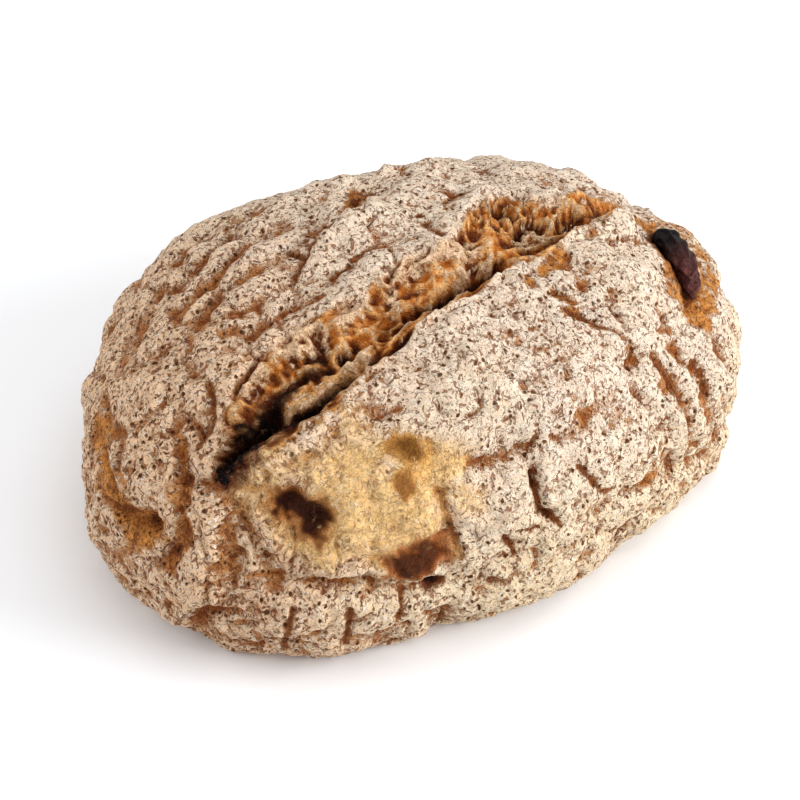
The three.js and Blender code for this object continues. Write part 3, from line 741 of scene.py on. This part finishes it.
class Surface:
    """The finished surface of the loaf at disc coordinates, with what its colours depend on."""

    def __init__(self, disc):
        crust = disc_point(disc)
        normal = disc_normal(disc)
        self.wandered = wander(crust)
        self.split = Split(self.wandered)
        coarse = coarse_relief(self.wandered, self.split)
        height = coarse + fine_relief(crust, self.split, crust + normal * coarse[:, None])
        seat, self.seat_gap = seat_height(crust)
        in_seat = 1 - smooth(-0.6, 0.2, self.seat_gap)
        self.height = height + in_seat * (np.minimum(seat, height) - height)
        level = normal * (1, 1, 0)
        level /= np.maximum(np.linalg.norm(level, axis=1, keepdims=True), 1e-9)
        way = mixed(level, normal, smooth(0, GIRTH_HEIGHT, crust[:, 2]))
        points = crust + way * self.height[:, None]
        points[:, 2] = np.where(crust[:, 2] < 0.01, 0, np.maximum(points[:, 2], 0.02))
        self.points = points - MIDDLE


def neighbour_mean(values, faces, rounds):
    """Values evened out over the mesh."""
    edges = np.concatenate((faces[:, [0, 1]], faces[:, [1, 2]], faces[:, [2, 0]]))
    edges = np.unique(np.sort(edges, 1), axis=0)
    a, b = edges.T
    degree = np.bincount(edges.ravel(), minlength=len(values))
    for _ in range(rounds):
        total = np.bincount(a, values[b], len(values)) + np.bincount(b, values[a], len(values))
        values = 0.5 * values + 0.5 * total / np.maximum(degree, 1)
    return values


# ---- Colours ----

FLOUR = linear(250, 230, 208)
FLOUR_CREAM = linear(251, 228, 190)
# Flour of the left end, warmer and darker: partly baked flour, partly painted shade on that side.
FLOUR_BAKED_AND_SHADED = linear(246, 211, 176)
CRUST = linear(208, 152, 104)
# Dark crust, also mixed in as painted shade in hollows.
CRUST_DARK_AND_SHADE = linear(146, 84, 40)
GOLDEN = linear(206, 142, 72)
CARAMEL = linear(188, 114, 42)
CARAMEL_PALE = linear(243, 192, 132)
# Deep caramel, also used as painted shade in hollows, holes and round the fruit's seat.
CARAMEL_DEEP_AND_SHADE = linear(92, 36, 5)
TORN_FLOUR = linear(254, 216, 178)
CREAM = linear(255, 213, 150)
BLACK = linear(10, 5, 4)
FRUIT_DARK = linear(20, 11, 12)
FRUIT_RED = linear(108, 60, 54)
UNDER_PAINT = {"crust_and_shade": CRUST, "dust_and_shade": FLOUR_CREAM, "flour": 0.35, "torn": 0, "plain": 0}

BARE = (  # golden brown where the flour has gone: (strength, reach, path)
    (0.9, 7, ((176, 62), (181, 65), (186, 67), (190, 68), (195, 69))),
    (0.5, 3.5, ((197, 57), (200, 61), (201, 66), (200, 74))),
    (0.35, 2.6, ((214, 72), (222, 72), (228, 73), (235, 75), (243, 78))),
    (0.4, 3, ((191, 50), (196, 55), (205, 55), (209, 58), (209, 63), (210, 72))),
    (1.0, 5, ((318, 23), (327, 24), (334, 25))),
    (0.8, 7, ((352, 30), (2, 38), (2, 42))),
    (0.9, 5.5, ((312, 49),)),
    (0.8, 4.5, ((303, 75),)),
    (1.0, 5.5, ((356, 46), (353, 51), (347, 54), (341, 55), (336, 55))),
    (1.0, 7.0, ((335, 51), (332, 55))),
    (1.0, 8.0, ((356, 53), (351, 57), (345, 58), (337, 56))),
    (0.8, 5.0, ((345, 46), (339, 48))),
    (0.5, 4, ((317, 28), (314, 34))),
    (0.5, 4, ((336, 31), (330, 33), (324, 37))),
    (0.3, 4, ((316, 52), (317, 66), (317, 81))),
    (0.3, 4, ((327, 43), (322, 58), (322, 74))),
    (0.3, 4, ((254, 54), (264, 53), (278, 54), (286, 53), (291, 52))),
    (0.4, 6, ((291, 52), (297, 53), (302, 59))),
    (1.0, 5, ((211, 44), (214, 40), (219, 37))),
    (0.7, 5, ((104, 18), (90, 25))),
    (0.7, 5, ((126, 41),)),
    (0.6, 4, ((119, 35),)),
    (0.6, 5, ((62, 33), (54, 33))),
    (0.5, 5, ((40, 16), (30, 21))),
    (0.25, 3.5, ((162, 40), (158, 35), (150, 31), (139, 28), (128, 26))),
    (0.25, 3.5, ((160, 29), (156, 25), (151, 20))),
    (0.5, 8, ((64, 52), (66, 62), (70, 74))),
    (0.5, 7, ((122, 58), (121, 70))),
    (0.6, 7, ((28, 54), (28, 66))),
)
PALE = (  # the smooth pale crust of the lobe: (strength, reach, path)
    (1.0, 26, ((231, 57), (239, 58))),
    (0.6, 14, ((213, 51),)),
    (0.7, 9, ((256, 60),)),
)
FLOURED = (  # flour on the torn slopes: (reach, path in the split's frame)
    (5.0, ((-8, -5), (8, -6), (15, -7))),
    (3.5, ((-44, -6), (-36, -8))),
    (3.0, ((-28, -8), (-20, -6))),
    (2.6, ((-12, -10), (-14, -13))),
    (3.0, ((30, -11), (36, -10))),
    (2.4, ((-58, -8), (-52, -7))),
)
SPOTS = (  # fruit lying just under the crust: colour, colour of its rim, reach, path
    (linear(58, 24, 7), linear(172, 104, 40), 9.0, ((219, 55), (223, 58))),
    (linear(128, 86, 36), linear(214, 160, 88), 7.2, ((240, 47), (242, 48.5))),
    (linear(146, 100, 50), linear(214, 162, 96), 5.6, ((241, 53.5),)),
    (linear(88, 48, 22), linear(166, 86, 30), 9.0, ((242, 71), (247, 69))),
    (linear(44, 16, 6), linear(110, 52, 20), 4.6, ((248, 78),)),
)
# Burnt crust at the split's lower end, its black partly painted shade in the deep hole there.
CHAR_AND_SHADE = (  # strength, reach, path in the split's frame
    (1.0, 4.8, ((-68, -16.6), (-62, -16.6), (-57, -15.6))),
    (0.8, 2.6, ((-57, -19.4), (-51, -19))),
    (1.0, 2.4, ((-65, -18), (-74, -16.6))),
    (0.7, 2.6, ((-56, -14), (-49, -14.2))),
    (0.7, 2.2, ((-57, -18.6), (-48, -20.6), (-38, -21.6))),
)


def patch(points, reach, path, ragged):
    """1 inside a patch round a path, with a ragged edge."""
    distance = nearest(points, place_points(path))[0]
    return 1 - smooth(0.35, 1.0, distance / reach + 0.45 * ragged)


def torn_colours(split, hollow, wide_hollow, blotch, fleck):
    """Colour of the torn crumb: pale ridges and caramel slopes, with hollows and holes darkened as
    painted shade.
    """
    pale = np.clip(0.14 - 1.3 * hollow - 0.12 * wide_hollow + 0.5 * blotch + 0.2 * fleck, 0, 1)
    pale = np.clip(pale + 0.3 * fleck, 0, 1)
    crumb = mixed(CARAMEL, CARAMEL_PALE, pale)
    # Darker towards deep caramel in hollows: painted shade, with random flecks and blotches.
    deep = 1.3 * hollow + 0.36 * wide_hollow - 0.06 + 0.4 * fleck - 0.7 * blotch
    crumb = mixed(crumb, CARAMEL_DEEP_AND_SHADE, np.clip(deep, 0, 0.95))
    # Painted shade in the crumb's deep holes.
    crumb = mixed(crumb, CARAMEL_DEEP_AND_SHADE * 0.4, 0.9 * smooth(0.1, 0.8, split.dark))
    return mixed(crumb, CARAMEL_PALE, 0.9 * smooth(0.25, 0.8, split.strip))


def strongest(points, patches, ragged):
    """The highest strength at each point of patches given as (strength, reach, path)."""
    total = np.zeros(len(points))
    for strength, reach, path in patches:
        total = np.maximum(total, strength * patch(points, reach, path, ragged))
    return total


def paint(surface, faces):
    """Colours of the crust and its flour, with painted shade in hollows, holes, round the fruit's seat
    and at the left end, and the shares of flour, tear and plain crust, by name.
    """
    crust, split, height, points = surface.wandered, surface.split, surface.height, surface.points
    hollow = neighbour_mean(height, faces, 10) - height  # mm under the ground near by
    wide_hollow = neighbour_mean(height, faces, 110) - height
    blotch = noise(points, 9.0) * 0.6 + noise(points, 4.0) * 0.4
    fleck = noise(points + 9, 1.9)
    wide = noise(points + 50, 24.0)
    left = 1 - smooth(-75, 5, points[:, 0])
    low = 1 - smooth(18, 56, points[:, 2])

    # Floured crust: darker crust and less flour in hollows, partly real and partly painted shade; less
    # flour low down; less flour at the left end, partly thinner flour and partly painted shade on that
    # side.
    crust_and_shade = mixed(CRUST, CRUST_DARK_AND_SHADE, np.clip(0.20 + 0.7 * hollow + 0.10 * wide_hollow + 0.3 * blotch, 0, 1))
    flour = 0.69 + 0.08 * wide + 0.20 * blotch - 0.14 * left
    flour -= 0.45 * np.clip(hollow, -0.4, 0.9) + 0.10 * np.clip(wide_hollow, -0.6, 1.4) + 0.08 * low

    # Bare patches, browned and darker in their hollows, the darkening partly painted shade; cracks;
    # painted shade round the fruit's seat; and the pale lobe, darker in its hollows as painted shade and
    # in random blotches.
    bare = strongest(crust, BARE, blotch + 0.6 * fleck)
    browned_and_shaded = np.clip(0.15 + 0.9 * hollow - 0.4 * blotch + 0.2 * fleck, 0, 1)
    crust_and_shade = mixed(crust_and_shade, mixed(GOLDEN, 0.75 * CRUST_DARK_AND_SHADE, browned_and_shaded), bare)
    crust_and_shade = mixed(crust_and_shade, 0.6 * CRUST_DARK_AND_SHADE, 0.8 * split.crack)
    # Painted shade round the fruit's seat, where the crust meets the fruit.
    socket = 1 - smooth(0.4, 2.4, surface.seat_gap + 0.8 * fleck)
    crust_and_shade = mixed(crust_and_shade, CARAMEL_DEEP_AND_SHADE, 0.85 * socket)
    flour -= 0.52 * bare + 0.5 * split.crack + socket
    cream = strongest(crust, PALE, blotch)
    crust_and_shade = mixed(crust_and_shade, mixed(CREAM, CARAMEL, np.clip(0.45 * hollow + 0.20 * blotch, 0, 0.45)), cream)

    # The tear, with flour on some of its slopes.
    bridge = np.zeros(len(points))
    for reach, path in FLOURED:
        bridge = np.maximum(bridge, 1 - smooth(0.4, 1.1, split.distance(path) / reach + 0.5 * blotch))
    torn = split.inside * (1 - smooth(-2.5, 1.2, split.beyond + 2.5 * blotch + 1.2 * fleck))
    crust_and_shade = mixed(crust_and_shade, torn_colours(split, hollow, wide_hollow, blotch, fleck), torn)
    dusting = np.clip(-0.05 - 0.5 * hollow + 0.6 * bridge + 0.35 * blotch + 0.3 * split.strip, 0, 0.8)
    dusting = np.maximum(dusting, 0.8 * smooth(0.55, 0.85, fleck))
    flour = flour * (1 - torn) + torn * dusting
    plain = np.maximum(np.maximum(0.7 * cream, 0.12 * (1 - left)), 0.6 * torn)

    for core, rim, reach, path in SPOTS:
        spot = patch(crust, reach, path, 0.7 * blotch + 0.3 * fleck)
        middle = patch(crust, 0.72 * reach, path, 0.9 * blotch + 0.5 * fleck)
        crust_and_shade = mixed(crust_and_shade, mixed(rim, core, middle), spot)
        flour = flour * (1 - spot)
        plain = np.maximum(plain, spot)
    # Burnt crust painted black, partly as shade in the deep hole it lies in, with scorched brown round
    # it.
    for strength, reach, path in CHAR_AND_SHADE:
        gap = split.distance(path) / reach + 0.35 * blotch + 0.35 * fleck + 0.8 * split.strip
        scorched = 0.6 * strength * (1 - smooth(0.9, 1.6, gap))
        burnt_and_shade = strength * (1 - smooth(0.6, 1.0, gap))
        crust_and_shade = mixed(mixed(crust_and_shade, CARAMEL_DEEP_AND_SHADE, scorched), BLACK, burnt_and_shade)
        flour = flour * (1 - np.maximum(burnt_and_shade, scorched))

    creamy = np.clip((1 - left) * low * 0.9 + 0.3 * wide, 0, 1)
    # The flour is warmer and darker towards the left end: partly thinner baked flour, partly painted
    # shade on that side.
    dust_and_shade = mixed(mixed(FLOUR, FLOUR_BAKED_AND_SHADED, left), FLOUR_CREAM, creamy)
    dust_and_shade = mixed(mixed(dust_and_shade, CREAM, 0.95 * cream), TORN_FLOUR, 0.75 * torn)
    shares = {"flour": np.clip(flour, 0, 1), "torn": torn, "plain": np.clip(plain, 0, 1)}
    return {"crust_and_shade": crust_and_shade, "dust_and_shade": dust_and_shade, **shares}


# ---- Materials ----

STROKE = (0.230, 0.075, 0.028, 1)
# Colour of the pits' cores: painted shade.
PIT_SHADE = (0.030, 0.013, 0.007, 1)
FLOUR_STRAND = (0.93, 0.84, 0.74, 1)
CRUMB_THREAD = (0.85, 0.58, 0.30, 1)
THIN_FLOUR = (0.80, 0.70, 0.63, 1)
# Painted shade in the fruit's wrinkles.
FRUIT_GROOVE_SHADE = (0.004, 0.002, 0.002, 1)
FLOOR_TONES = ((0.92, 0.93, 0.95, 1), (0.94, 0.95, 0.97, 1))


class Graph:
    """Short calls for the nodes of one material."""

    def __init__(self, name):
        self.material = bpy.data.materials.new(name)
        self.material.use_nodes = True
        self.tree = self.material.node_tree
        self.shader = self.tree.nodes["Principled BSDF"]

    def node(self, kind, inputs=(), **settings):
        made = self.tree.nodes.new(kind)
        for key, value in settings.items():
            setattr(made, key, value)
        for key, value in dict(inputs).items():
            self.feed(made.inputs[key], value)
        return made

    def feed(self, socket, value):
        if isinstance(value, bpy.types.NodeSocket):
            self.tree.links.new(value, socket)
        else:
            socket.default_value = value

    def math(self, operation, a, b=0.0):
        return self.node("ShaderNodeMath", {0: a, 1: b}, operation=operation).outputs[0]

    def plus(self, a, b):
        return self.math("ADD", a, b)

    def less(self, a, b):
        return self.math("SUBTRACT", a, b)

    def times(self, a, b):
        return self.math("MULTIPLY", a, b)

    def vector(self, operation, a, b):
        return self.node("ShaderNodeVectorMath", {0: a, 1: b}, operation=operation).outputs[0]

    def scaled(self, vector, share):
        return self.node("ShaderNodeVectorMath", {0: vector, 3: share}, operation="SCALE").outputs[0]

    def step(self, value, start, end, low=0.0, high=1.0):
        inputs = {"Value": value, "From Min": start, "From Max": end, "To Min": low, "To Max": high}
        return self.node("ShaderNodeMapRange", inputs, interpolation_type="SMOOTHSTEP").outputs[0]

    def blend(self, share, a, b, kind="MIX"):
        made = self.node("ShaderNodeMix", {0: share, 6: a, 7: b}, data_type="RGBA", blend_type=kind)
        return made.outputs[2]

    def attribute(self, name, output):
        return self.node("ShaderNodeAttribute", attribute_name=name).outputs[output]

    def noise(self, vector, scale, detail=2.0, rough=0.5):
        inputs = {"Vector": vector, "Scale": scale, "Detail": detail, "Roughness": rough}
        return self.node("ShaderNodeTexNoise", inputs).outputs

    def millimetres(self):
        return self.scaled(self.node("ShaderNodeTexCoord").outputs["Object"], 1 / MM)

    def pushed(self, vector, scale, reach):
        """The vector moved sideways by noise, so that patterns don't look regular."""
        away = self.vector("SUBTRACT", self.noise(vector, scale)["Color"], (0.5, 0.5, 0.5))
        return self.vector("ADD", vector, self.scaled(away, reach))

    def dashes(self, vector, scale, width, offset, bare):
        """Short bent strokes: where a noise crosses its middle, cut into pieces by another noise."""
        moved = self.vector("ADD", vector, offset)
        gap = self.math("ABSOLUTE", self.less(self.noise(moved, scale, 1.0)["Fac"], 0.5))
        line = self.step(gap, 0.3 * width, width, 1.0, 0.0)
        cut = self.noise(self.vector("ADD", moved, (11, 7, 5)), 1.5 * scale, 1.0)["Fac"]
        return self.times(line, self.step(cut, bare, bare + 0.06))

    def finish(self, colour, roughness, height, depth, specular):
        bump = self.node("ShaderNodeBump", {"Height": height, "Distance": depth}).outputs[0]
        inputs = {"Base Color": colour, "Roughness": roughness, "Normal": bump}
        inputs["Specular IOR Level"] = specular
        for key, value in inputs.items():
            self.feed(self.shader.inputs[key], value)
        return self.material


def crust_material():
    g = Graph("floured_crust")
    where = g.pushed(g.vector("MULTIPLY", g.millimetres(), (1, 1, 0.8)), 0.45, 1.8)
    flour = g.attribute("flour", "Fac")
    torn = g.attribute("torn", "Fac")
    rough_part = g.less(1.0, g.times(g.attribute("plain", "Fac"), 0.8))
    fine = g.noise(where, 1.0, 4.0, 0.65)["Fac"]
    grit = g.noise(where, 2.6, 3.0, 0.65)["Fac"]
    soft = g.noise(where, 0.24, 2.0, 0.5)["Fac"]

    # Pits of many sizes, their dark cores painted shade, and strokes where the flour has split or lies in
    # strands.
    cells = g.node("ShaderNodeTexVoronoi", {"Vector": where, "Scale": 0.52}).outputs
    size = g.node("ShaderNodeSeparateColor", {0: cells["Color"]}).outputs[0]
    inside = g.less(cells["Distance"], g.step(size, 0.05, 1.0, 0.04, 0.29))
    pit = g.times(g.step(inside, -0.06, 0.08, 1.0, 0.0), rough_part)
    core = g.times(g.step(inside, -0.10, 0.0, 1.0, 0.0), rough_part)
    dash = g.times(g.dashes(where, 0.42, 0.075, (0, 0, 0), 0.53), rough_part)
    thin = g.times(g.dashes(where, 0.70, 0.060, (40, 0, 0), 0.52), rough_part)
    strand = g.dashes(where, 0.60, 0.05, (0, 40, 0), 0.42)

    # How much of the crust the flour covers.
    cover = g.plus(flour, g.times(g.less(fine, 0.5), 1.1))
    cover = g.plus(cover, g.times(g.less(soft, 0.5), 0.8))
    cover = g.less(cover, g.times(pit, 0.6))
    cover = g.less(cover, g.times(thin, 0.30))
    cover = g.step(cover, 0.12, 0.58)

    crust_and_shade = g.scaled(g.attribute("crust_and_shade", "Color"), g.step(grit, 0.25, 0.75, 0.75, 1.25))
    dusty = g.step(g.plus(grit, g.times(fine, 0.6)), 0.5, 1.1, 0.69, 1.03)
    dust_and_shade = g.scaled(g.attribute("dust_and_shade", "Color"), dusty)
    dust_and_shade = g.blend(g.step(soft, 0.40, 0.62, 0.0, 0.45), dust_and_shade, THIN_FLOUR, "MULTIPLY")
    dust_and_shade = g.blend(g.times(strand, g.times(rough_part, 0.6)), dust_and_shade, FLOUR_STRAND)
    colour = g.blend(cover, crust_and_shade, dust_and_shade)
    stroke = g.math("MAXIMUM", g.times(dash, 0.85), g.times(thin, 0.40))
    colour = g.blend(stroke, colour, STROKE)
    # Painted shade in the cores of the pits.
    colour = g.blend(g.times(core, 0.88), colour, PIT_SHADE)
    thread = g.times(g.times(strand, torn), g.step(flour, 0.05, 0.40, 0.0, 0.60))
    colour = g.blend(thread, colour, CRUMB_THREAD)
    rough = g.step(g.times(torn, g.step(fine, 0.35, 0.6)), 0.0, 1.0, 0.88, 0.42)

    height = 0.0
    for part, rise in ((cover, 0.35), (fine, 0.65), (grit, 0.12), (strand, 0.25), (pit, -0.50)):
        height = g.plus(height, g.times(part, rise))
    height = g.less(height, g.times(g.math("MAXIMUM", dash, thin), 0.40))
    return g.finish(colour, rough, height, 1.0 * MM, 0.25)


def fruit_material():
    g = Graph("dried_fruit_skin")
    where = g.pushed(g.millimetres(), 0.5, 1.5)
    wrinkles = g.noise(where, 0.9, 4.0, 0.6)["Fac"]
    tone = g.attribute("tone", "Color")
    # Painted shade: darker in the grooves between the fruit's wrinkles.
    colour = g.blend(g.step(wrinkles, 0.35, 0.7), g.blend(0.6, tone, FRUIT_GROOVE_SHADE), tone)
    return g.finish(colour, g.step(wrinkles, 0.3, 0.7, 0.60, 0.40), wrinkles, 1.2 * MM, 0.25)


def floor_material():
    g = Graph("pale_floor")
    speck = g.noise(g.millimetres(), 0.02)["Fac"]
    return g.finish(g.blend(speck, *FLOOR_TONES), 0.9, speck, 0.01 * MM, 0.1)


# ---- Pieces ----


def mesh_object(name, points, faces, material, values=()):
    """A smooth mesh from points in mm, with the named colours or numbers stored at its points."""
    mesh = bpy.data.meshes.new(name)
    mesh.from_pydata((points * MM).tolist(), [], faces.tolist())
    mesh.polygons.foreach_set("use_smooth", np.ones(len(faces), bool))
    for key, value in dict(values).items():
        if value.ndim == 2:
            layer = mesh.attributes.new(key, "FLOAT_COLOR", "POINT")
            opaque = np.concatenate((value, np.ones((len(value), 1))), 1)
            layer.data.foreach_set("color", opaque.astype("f").ravel())
        else:
            layer = mesh.attributes.new(key, "FLOAT", "POINT")
            layer.data.foreach_set("value", value.astype("f"))
    mesh.materials.append(material)
    piece = bpy.data.objects.new(name, mesh)
    bpy.context.scene.collection.objects.link(piece)
    return piece


def under_side(points, foot):
    """Rings that close the loaf below, from the foot to the middle: new points and faces."""
    outline = points[foot]
    rounds = round(MEAN_RADIUS / UNDER_EDGE)
    ids, added, faces = foot, [], []
    index = len(points)
    for k in range(1, rounds + 1):
        share = 1 - k / rounds
        sides = max(8, round(len(foot) * share * COARSE_EDGE / UNDER_EDGE)) if k < rounds else 1
        at = np.arange(sides) / sides * len(foot)
        low = np.floor(at).astype(int)
        ring = mixed(outline[low], outline[(low + 1) % len(foot)], at - low) * share
        ring[:, 2] = UNDER_RELIEF * smooth(0, 3, k) * (0.5 + 0.5 * noise(ring, 8.0))
        inner = index + np.arange(sides)
        faces.append(np.concatenate((inner, ids))[zip_rings(sides, len(ids), 0, sides)][:, ::-1])
        added.append(ring)
        ids = inner
        index += sides
    return np.concatenate(added), np.concatenate(faces)


def make_loaf():
    disc, faces, foot = loaf_mesh()
    surface = Surface(disc)
    painted = paint(surface, faces)
    more, under = under_side(surface.points, foot)
    for key, value in painted.items():
        below = np.broadcast_to(UNDER_PAINT[key], (len(more), *value.shape[1:]))
        painted[key] = np.concatenate((value, below))
    points = np.concatenate((surface.points, more))
    piece = mesh_object("loaf_crust", points, np.concatenate((faces, under)), crust_material(), painted)
    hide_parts("loaf")
    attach(piece, "root")
    return piece


def make_fruit(rings=90, sides=72):
    path, normal = fruit_frame()
    along = np.linspace(0, 1, rings + 1)[1:-1]
    spine = catmull(path, along)
    tangent = catmull(path, np.minimum(along + 1e-4, 1)) - catmull(path, np.maximum(along - 1e-4, 0))
    tangent /= np.linalg.norm(tangent, axis=1, keepdims=True)
    across = np.cross(tangent, normal)
    across /= np.linalg.norm(across, axis=1, keepdims=True)
    up = np.cross(across, tangent)
    turn = np.arange(sides) / sides * 2 * np.pi
    t, a = np.meshgrid(turn, along)
    wrinkle = 1 + FRUIT_WRINKLE * (np.sin(3 * t + 7 * a) + np.sin(5 * t - 19 * a)) / 2
    size = fruit_width(along)[:, None] * wrinkle
    points = spine[:, None] + across[:, None] * (size * np.cos(t))[..., None]
    points = (points + up[:, None] * (FRUIT_FLATNESS * size * np.sin(t))[..., None]).reshape(-1, 3)
    outward = points - np.repeat(spine, sides, 0)
    outward /= np.linalg.norm(outward, axis=1, keepdims=True)
    folds = ridged(points * (1, 1, 1.6), 3.0)
    depth = 0.70 * (smooth(-0.2, 0.9, folds) - 0.7) + 0.25 * noise(points, 1.3)
    points = points + outward * depth[:, None]
    tips = catmull(path, (0, 1))
    k, j = np.meshgrid(np.arange(rings - 2), np.arange(sides), indexing="ij")
    a = (k * sides + j).ravel()
    b = (k * sides + (j + 1) % sides).ravel()
    faces = np.concatenate((np.stack((a, a + sides, b), 1), np.stack((b, a + sides, b + sides), 1)))
    count = len(points)
    first = np.arange(sides)
    last = (rings - 2) * sides + first
    faces = np.concatenate((
        faces,
        np.stack((first, np.roll(first, -1), np.full(sides, count)), 1),
        np.stack((last, np.full(sides, count + 1), np.roll(last, -1)), 1),
    ))
    shade = np.concatenate((np.repeat(along, sides), (0, 1)))
    tone = mixed(FRUIT_DARK, FRUIT_RED, smooth(0.20, 0.75, shade))
    points = np.concatenate((points, tips)) - MIDDLE
    piece = mesh_object("fruit_skin", points, faces, fruit_material(), {"tone": tone})
    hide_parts("dried_fruit")
    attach(piece, "root")
    return piece


# ---- Scene ----


def facing(azimuth, elevation):
    """Rotation of a camera or light that looks at the part from this azimuth and elevation."""
    a, e = math.radians(azimuth), math.radians(elevation)
    back = Vector((math.sin(a) * math.cos(e), -math.cos(a) * math.cos(e), math.sin(e)))
    right = Vector((math.cos(a), math.sin(a), 0))
    up = back.cross(right)
    return back, Matrix((right, up, back)).transposed()


def make_camera():
    back, turn = facing(CAMERA_AZIMUTH, CAMERA_ELEVATION)
    camera = bpy.data.objects.new("camera", bpy.data.cameras.new("camera"))
    camera.data.lens = CAMERA_LENS
    camera.data.sensor_width = 36
    camera.data.clip_start = 0.01
    place = Vector(CAMERA_TARGET) + CAMERA_DISTANCE * back
    camera.matrix_world = Matrix.Translation(place) @ turn.to_4x4()
    bpy.context.scene.collection.objects.link(camera)
    bpy.context.scene.camera = camera


def make_light(name, azimuth, elevation, distance, width, watts):
    back, turn = facing(azimuth, elevation)
    data = bpy.data.lights.new(name, "AREA")
    data.shape = "DISK"
    data.size = width
    data.energy = watts
    light = bpy.data.objects.new(name, data)
    light.matrix_world = Matrix.Translation(Vector(CAMERA_TARGET) + distance * back) @ turn.to_4x4()
    bpy.context.scene.collection.objects.link(light)


def make_room():
    world = bpy.data.worlds.new("soft_white")
    world.use_nodes = True
    world.node_tree.nodes["Background"].inputs["Color"].default_value = (1, 1, 1, 1)
    world.node_tree.nodes["Background"].inputs["Strength"].default_value = SKY_STRENGTH
    bpy.context.scene.world = world
    corners = FLOOR_REACH * np.array(((-1, -1, 0), (1, -1, 0), (1, 1, 0), (-1, 1, 0)))
    floor = mesh_object("floor", corners, np.array(((0, 1, 2), (0, 2, 3))), floor_material())
    for light in LIGHTS:
        make_light(*light)


make_camera()
make_room()
make_loaf()
make_fruit()
bpy.context.scene.view_settings.view_transform = "Standard"
bpy.context.scene.view_settings.look = "Medium High Contrast"
